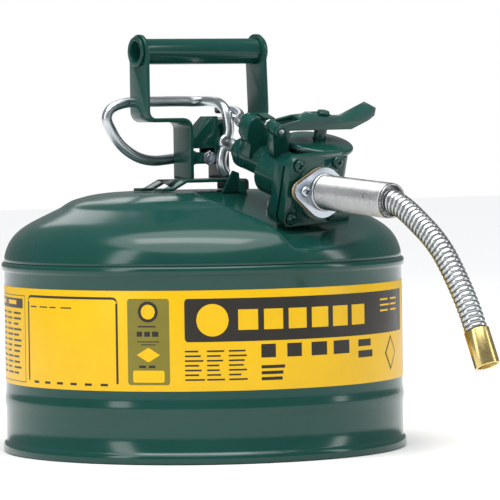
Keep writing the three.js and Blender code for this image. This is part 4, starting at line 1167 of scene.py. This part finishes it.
# node: finish, record slot, edge rounding as a share of the usual corner (nothing keeps edges crisp)
METALWORK = {
    "rear_handle_strap": ("enamel", "green_enamel", 1.2),
    "front_handle_strap": ("enamel", "green_enamel", 1.2),
    "grip_tube": ("enamel", "green_enamel", 0.9),
    "handle_bridge": ("enamel", "green_enamel", 1.0),
    "trigger_bracket": ("enamel", "green_enamel", 0.8),
    "trigger_channel": ("enamel", "green_enamel", 0.8),
    "manifold_casting": ("enamel", "green_enamel", 1.0),
    "casting_gusset": ("enamel", "green_enamel", 1.0),
    "valve_bonnet": ("enamel", "green_enamel", 0.9),
    "lid_disc": ("enamel", "green_enamel", 0.9),
    "lid_post": ("enamel", "green_enamel", 0.5),
    "cap_lever": ("enamel", "green_enamel", 1.0),
    "lid_rivet": ("enamel", "green_enamel", 0.9),
    "cover_plate": ("enamel", "green_enamel", 1.2),
    "bracket_bolt": ("zinc", "zinc_plate", 0.5),
    "bracket_nut": ("zinc", "zinc_plate", 0.5),
    "trigger_pivot_pin": ("rod", "zinc_plate", 0.5),
    "trigger_cotter": ("steel", "zinc_plate", None),
    "lever_hinge_pin": ("zinc", "zinc_plate", 0.5),
    "hose_flange": ("zinc", "zinc_plate", 0.5),
    "flange_gasket": ("fibre", "tan_fibre", None),
    "hose_collar": ("steel", "bare_steel", 0.4),
    "valve_shaft": ("steel", "bare_steel", 0.4),
    "valve_spring": ("steel", "bare_steel", None),
    "lever_return_spring": ("steel", "bare_steel", None),
    "fill_flame_arrester": ("steel", "bare_steel", 0.4),
    "pour_flame_arrester": ("steel", "bare_steel", 0.4),
    "valve_poppet": ("brass", "brass", 0.4),
    "vent_button": ("brass", "brass", 0.5),
    "valve_seal": ("rubber", "black_rubber", None),
    "lid_gasket": ("rubber", "black_rubber", None),
    "cover_gasket": ("rubber", "black_rubber", None),
    "bonnet_packing": ("rubber", "black_rubber", None),
}


def make_metalwork():
    """Straps, castings, levers, rods, springs and seals."""
    corner = bpy.context.scene.safety_can.shell.corner
    for node, (finish, slot, share) in METALWORK.items():
        finished_copy(node, finish, slot, corner * share if share else None)


# ---------------------------------------------------------------- operators and panel
class SAFETYCAN_OT_stage(bpy.types.Operator):
    """Make the floor, the lights and the camera"""
    bl_idname = "safetycan.stage"
    bl_label = "Stage"

    def execute(self, context):
        make_stage()
        return {"FINISHED"}


class SAFETYCAN_OT_hose(bpy.types.Operator):
    """Make the flexible hose and its ferrule"""
    bl_idname = "safetycan.hose"
    bl_label = "Flexible hose"

    def execute(self, context):
        make_hose()
        return {"FINISHED"}


class SAFETYCAN_OT_shells(bpy.types.Operator):
    """Make the wall and the bottom pan"""
    bl_idname = "safetycan.shells"
    bl_label = "Wall and bottom"

    def execute(self, context):
        make_shells()
        return {"FINISHED"}


class SAFETYCAN_OT_dome(bpy.types.Operator):
    """Make the dome with its pressed flat"""
    bl_idname = "safetycan.dome"
    bl_label = "Dome"

    def execute(self, context):
        make_dome()
        return {"FINISHED"}


class SAFETYCAN_OT_label(bpy.types.Operator):
    """Make the label and its plain print"""
    bl_idname = "safetycan.label"
    bl_label = "Label"

    def execute(self, context):
        make_label()
        return {"FINISHED"}


class SAFETYCAN_OT_spout(bpy.types.Operator):
    """Make the ridged spout tube"""
    bl_idname = "safetycan.spout"
    bl_label = "Spout"

    def execute(self, context):
        make_spout()
        return {"FINISHED"}


class SAFETYCAN_OT_rods(bpy.types.Operator):
    """Make the trigger's bent rod and the vent's finger"""
    bl_idname = "safetycan.rods"
    bl_label = "Trigger rods"

    def execute(self, context):
        make_rods()
        return {"FINISHED"}


class SAFETYCAN_OT_screws(bpy.types.Operator):
    """Make the screws of the cover and the flange"""
    bl_idname = "safetycan.screws"
    bl_label = "Screws"

    def execute(self, context):
        make_screws()
        return {"FINISHED"}


class SAFETYCAN_OT_metalwork(bpy.types.Operator):
    """Finish the straps, castings, levers, rods, springs and seals"""
    bl_idname = "safetycan.metalwork"
    bl_label = "Metalwork"

    def execute(self, context):
        make_metalwork()
        return {"FINISHED"}


OPERATORS = (
    SAFETYCAN_OT_stage, SAFETYCAN_OT_hose, SAFETYCAN_OT_shells, SAFETYCAN_OT_dome, SAFETYCAN_OT_label,
    SAFETYCAN_OT_spout, SAFETYCAN_OT_rods, SAFETYCAN_OT_screws, SAFETYCAN_OT_metalwork,
)


class SAFETYCAN_PT_panel(bpy.types.Panel):
    """Sizes, colours and the steps that build the can"""
    bl_idname = "SAFETYCAN_PT_panel"
    bl_label = "Safety Can"
    bl_space_type = "VIEW_3D"
    bl_region_type = "UI"
    bl_category = "Safety Can"

    def draw(self, context):
        settings = context.scene.safety_can
        for part in (settings.shell, settings.hose, settings.finish, settings.stage):
            box = self.layout.box()
            for name in part.__annotations__:
                box.prop(part, name)
        for operator in OPERATORS:
            self.layout.operator(operator.bl_idname)


CLASSES = (
    ShellSettings, HoseSettings, FinishSettings, StageSettings, SafetyCanSettings, *OPERATORS,
    SAFETYCAN_PT_panel,
)


def register():
    """Makes the classes and the scene's settings known."""
    for item in CLASSES:
        bpy.utils.register_class(item)
    bpy.types.Scene.safety_can = PointerProperty(type=SafetyCanSettings)


def unregister():
    """Takes them away again."""
    del bpy.types.Scene.safety_can
    for item in reversed(CLASSES):
        bpy.utils.unregister_class(item)


def main():
    """Builds the can step by step."""
    register()
    bpy.ops.safetycan.stage()
    bpy.ops.safetycan.hose()
    bpy.ops.safetycan.shells()
    bpy.ops.safetycan.dome()
    bpy.ops.safetycan.label()
    bpy.ops.safetycan.spout()
    bpy.ops.safetycan.rods()
    bpy.ops.safetycan.screws()
    bpy.ops.safetycan.metalwork()


if __name__ == "__main__":
    main()
